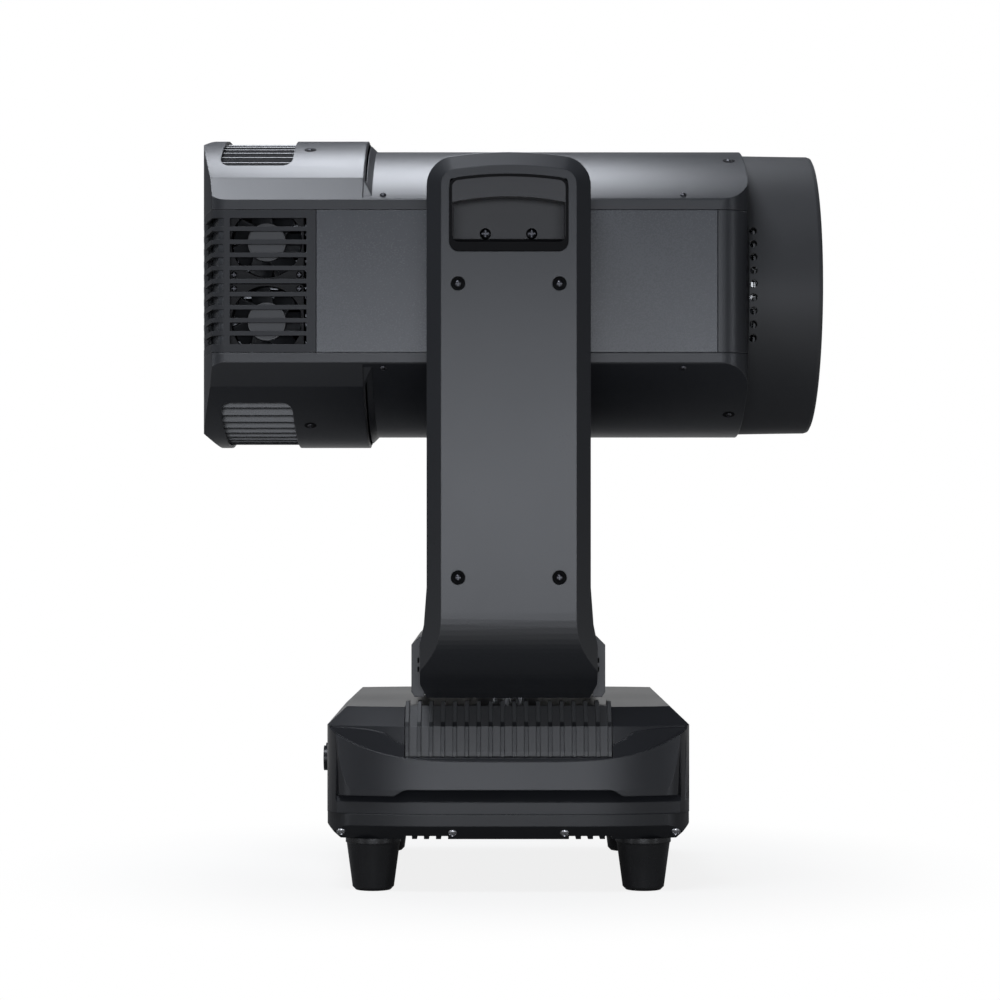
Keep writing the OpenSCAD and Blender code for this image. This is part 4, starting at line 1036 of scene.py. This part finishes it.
bars("menu_title", TITLE_Y, [TITLE_RISE], width=0.0045, length=0.062)
bars("menu_rows", ROW_Y, ROW_RISES, width=0.0024, length=0.029)
bars("menu_values", VALUE_Y, ROW_RISES, width=0.0024, length=0.011)
for i, (name, (sides, turn)) in enumerate(MARKS.items()):
    seat = ((CAP_X, FIRST_BUTTON_Y + i * BUTTON_PITCH, PANEL_Z), FRONT)
    PEG.make("mark_" + name, [seat], "button_" + name, "button_grey", MARK_WHITE,
             Sides=sides, Radius=0.0028, Thick=0.0004, Turn=math.radians(turn))

# %% [markdown]
# ## Yoke slots
# Beside the foot of each arm the yoke's cross-member shows two short dark slots, one above the other.
# They are too thin to cut, so black plates that stand a hair proud of the moulding paint their shade in.

# %% Yoke slots
SLOT_X = 0.0845
SLOT_Y = 0.1716
SLOT_Z = 0.2112
SLOT_RISE = 0.0042
slots = [((x, side * SLOT_Y, SLOT_Z + z), (0, side, 0)) for x in (-SLOT_X, SLOT_X) for side in (-1, 1)
         for z in (-SLOT_RISE, SLOT_RISE)]
# The black plates are painted shade for the dark inside the slots.
PLATE.make("yoke_slots", slots, "yoke", "black_plastic", PAINTED_SHADE,
           Along=0.0018, Across=0.0048, Thick=0.0003)

# %% [markdown]
# ## Studio
# A black object on white needs a studio that is mostly dark: the shapes are drawn by a few large soft
# lamps and by the dark between them. One lies overhead and lights the tops of the covers, a strip above
# the front lights their edges, and a wide window behind the camera lights the faces. Weaker lamps at
# the sides and behind keep the other views readable.

# %% Lamps
DAYLIGHT = (0.93, 0.97, 1.05)
MIDDLE = (0, 0, 0.4)


def lamp(name, place, target, size, power):
    data = bpy.data.lights.new(name, "AREA")
    data.shape = "RECTANGLE"
    data.size, data.size_y = size
    data.energy = power
    data.color = DAYLIGHT
    made = bpy.data.objects.new(name, data)
    made.location = place
    aim = Vector(target) - Vector(place)
    made.rotation_euler = aim.to_track_quat("-Z", "Y").to_euler()
    bpy.context.scene.collection.objects.link(made)


lamp("overhead", (-0.155, 0.78, 2.3), (-0.05, 0, 0.65), (0.74, 0.82), 18.5)
lamp("front_strip", (-0.55, -0.95, 2.3), (-0.1, -0.1, 0.6), (1.0, 0.35), 24)
lamp("front_window", (0.0, -3.4, 0.36), MIDDLE, (2.0, 0.80), 25)
lamp("left_window", (-2.6, -2.2, 0.4), MIDDLE, (0.6, 0.9), 8)
lamp("right_window", (2.6, -2.2, 0.4), MIDDLE, (0.6, 0.9), 8)
lamp("back_left_lamp", (-1.9, 1.9, 2.5), MIDDLE, (1.0, 1.0), 14)
lamp("back_right_lamp", (1.9, 1.9, 2.5), MIDDLE, (1.0, 1.0), 6)
print("lamps", len(bpy.data.lights))

# %% [markdown]
# The background is white to the camera, and to gloss and glass that look straight behind the object.
# Everything else sees a dark room. A white room would be simpler, but it would wash out every black
# surface. The Light Path node tells the rays apart.

# %% World
DARK_STUDIO = (0.10, 0.105, 0.115, 1)
WHITE = (1, 1, 1, 1)
STRAIGHT_BEHIND = 0.985


def ray_kinds(made, *kinds):
    """For each kind of ray a field that is 1 for such a ray and 0 for others."""
    path = made.node("LightPath")
    return [Field(made.tree, path.outputs["Is " + kind + " Ray"]) for kind in kinds]


world = bpy.data.worlds.new("studio")
world.use_nodes = True
bpy.context.scene.world = world
sky = Tree(world.node_tree, "ShaderNode")
dark_room = sky.tree.nodes["Background"]
dark_room.inputs["Color"].default_value = DARK_STUDIO
white_room = sky.node("Background", Color=WHITE)
camera_ray, gloss_ray, glass_ray = ray_kinds(sky, "Camera", "Glossy", "Transmission")
way = sky.node("SeparateXYZ", Vector=sky.node("TexCoord").outputs["Generated"])
depth = Field(sky.tree, way.outputs["Y"])
behind = depth.maths("GREATER_THAN", depth, STRAIGHT_BEHIND)
room = sky.node("MixShader")
for slot, value in zip(room.inputs, (camera_ray + (gloss_ray + glass_ray) * behind,
                                     dark_room.outputs[0], white_room.outputs[0])):
    feed(sky.tree, slot, value)
feed(sky.tree, sky.tree.nodes["World Output"].inputs[0], room.outputs[0])
print("world nodes", len(sky.tree.nodes))

# %% [markdown]
# The floor is white to the camera too, with a soft grey patch under the object that takes its shadow. A
# plain white floor would throw light up under the base, so to bounced light it is grey. Gloss sees it
# bright only from some way off, as it would see a sweep of white paper.

# %% Floor
FLOOR_HALF = 6.0
SHADOW_NEAR = 0.2
SHADOW_FAR = 0.55
SHADOW_TONE = 0.85
GLEAM_CENTRE = (0, 0.35, 0)
GLEAM_NEAR = 0.75
GLEAM_FAR = 1.15
GLEAM_TONES = (0.03, 0.55)
PAPER = (0.9, 0.9, 0.9)
PAPER_TO_BOUNCES = (0.15, 0.15, 0.15)


def ring(made, centre, near, far, inside, outside):
    """A field that goes softly from the inside tone to the outside tone round a centre."""
    away = made.node("VectorMath", {"operation": "DISTANCE"})
    feed(made.tree, away.inputs[0], made.place())
    away.inputs[1].default_value = centre
    step = made.node("MapRange", {"interpolation_type": "SMOOTHSTEP"}, Value=away.outputs["Value"],
                     From_Min=near, From_Max=far, To_Min=inside, To_Max=outside)
    return Field(made.tree, step.outputs[0])


paper = Finish("floor_white")
KINDS = ("Camera", "Glossy", "Transmission", "Diffuse")
camera_ray, gloss_ray, glass_ray, bounce_ray = ray_kinds(paper, *KINDS)
paleness = ring(paper, (0, 0, 0), SHADOW_NEAR, SHADOW_FAR, SHADOW_TONE, 1.0)
sheen = ring(paper, GLEAM_CENTRE, GLEAM_NEAR, GLEAM_FAR, *GLEAM_TONES)
paper.set(Base_Color=paper.between(bounce_ray + gloss_ray, PAPER, PAPER_TO_BOUNCES), Roughness=0.9)
glow = paper.node("Emission", Strength=1.0)
blend = paper.node("MixShader")
for slot, value in zip(blend.inputs, (camera_ray * paleness + (gloss_ray + glass_ray) * sheen,
                                      paper.shader.outputs[0], glow.outputs[0])):
    feed(paper.tree, slot, value)
feed(paper.tree, paper.tree.nodes["Material Output"].inputs[0], blend.outputs[0])
floor_mesh = bpy.data.meshes.new("floor")
floor_corners = [(x * FLOOR_HALF, y * FLOOR_HALF, 0) for x, y in ((-1, -1), (1, -1), (1, 1), (-1, 1))]
floor_mesh.from_pydata(floor_corners, [], [(0, 1, 2, 3)])
floor_mesh.materials.append(paper.material)
floor = bpy.data.objects.new("floor", floor_mesh)
bpy.context.scene.collection.objects.link(floor)
print("floor nodes", len(paper.tree.nodes))

# %% [markdown]
# ## Last update
# The dressed model has to stay in the frame's box. At the end the view layer is brought up to date.

# %% Finish
bpy.context.view_layer.update()
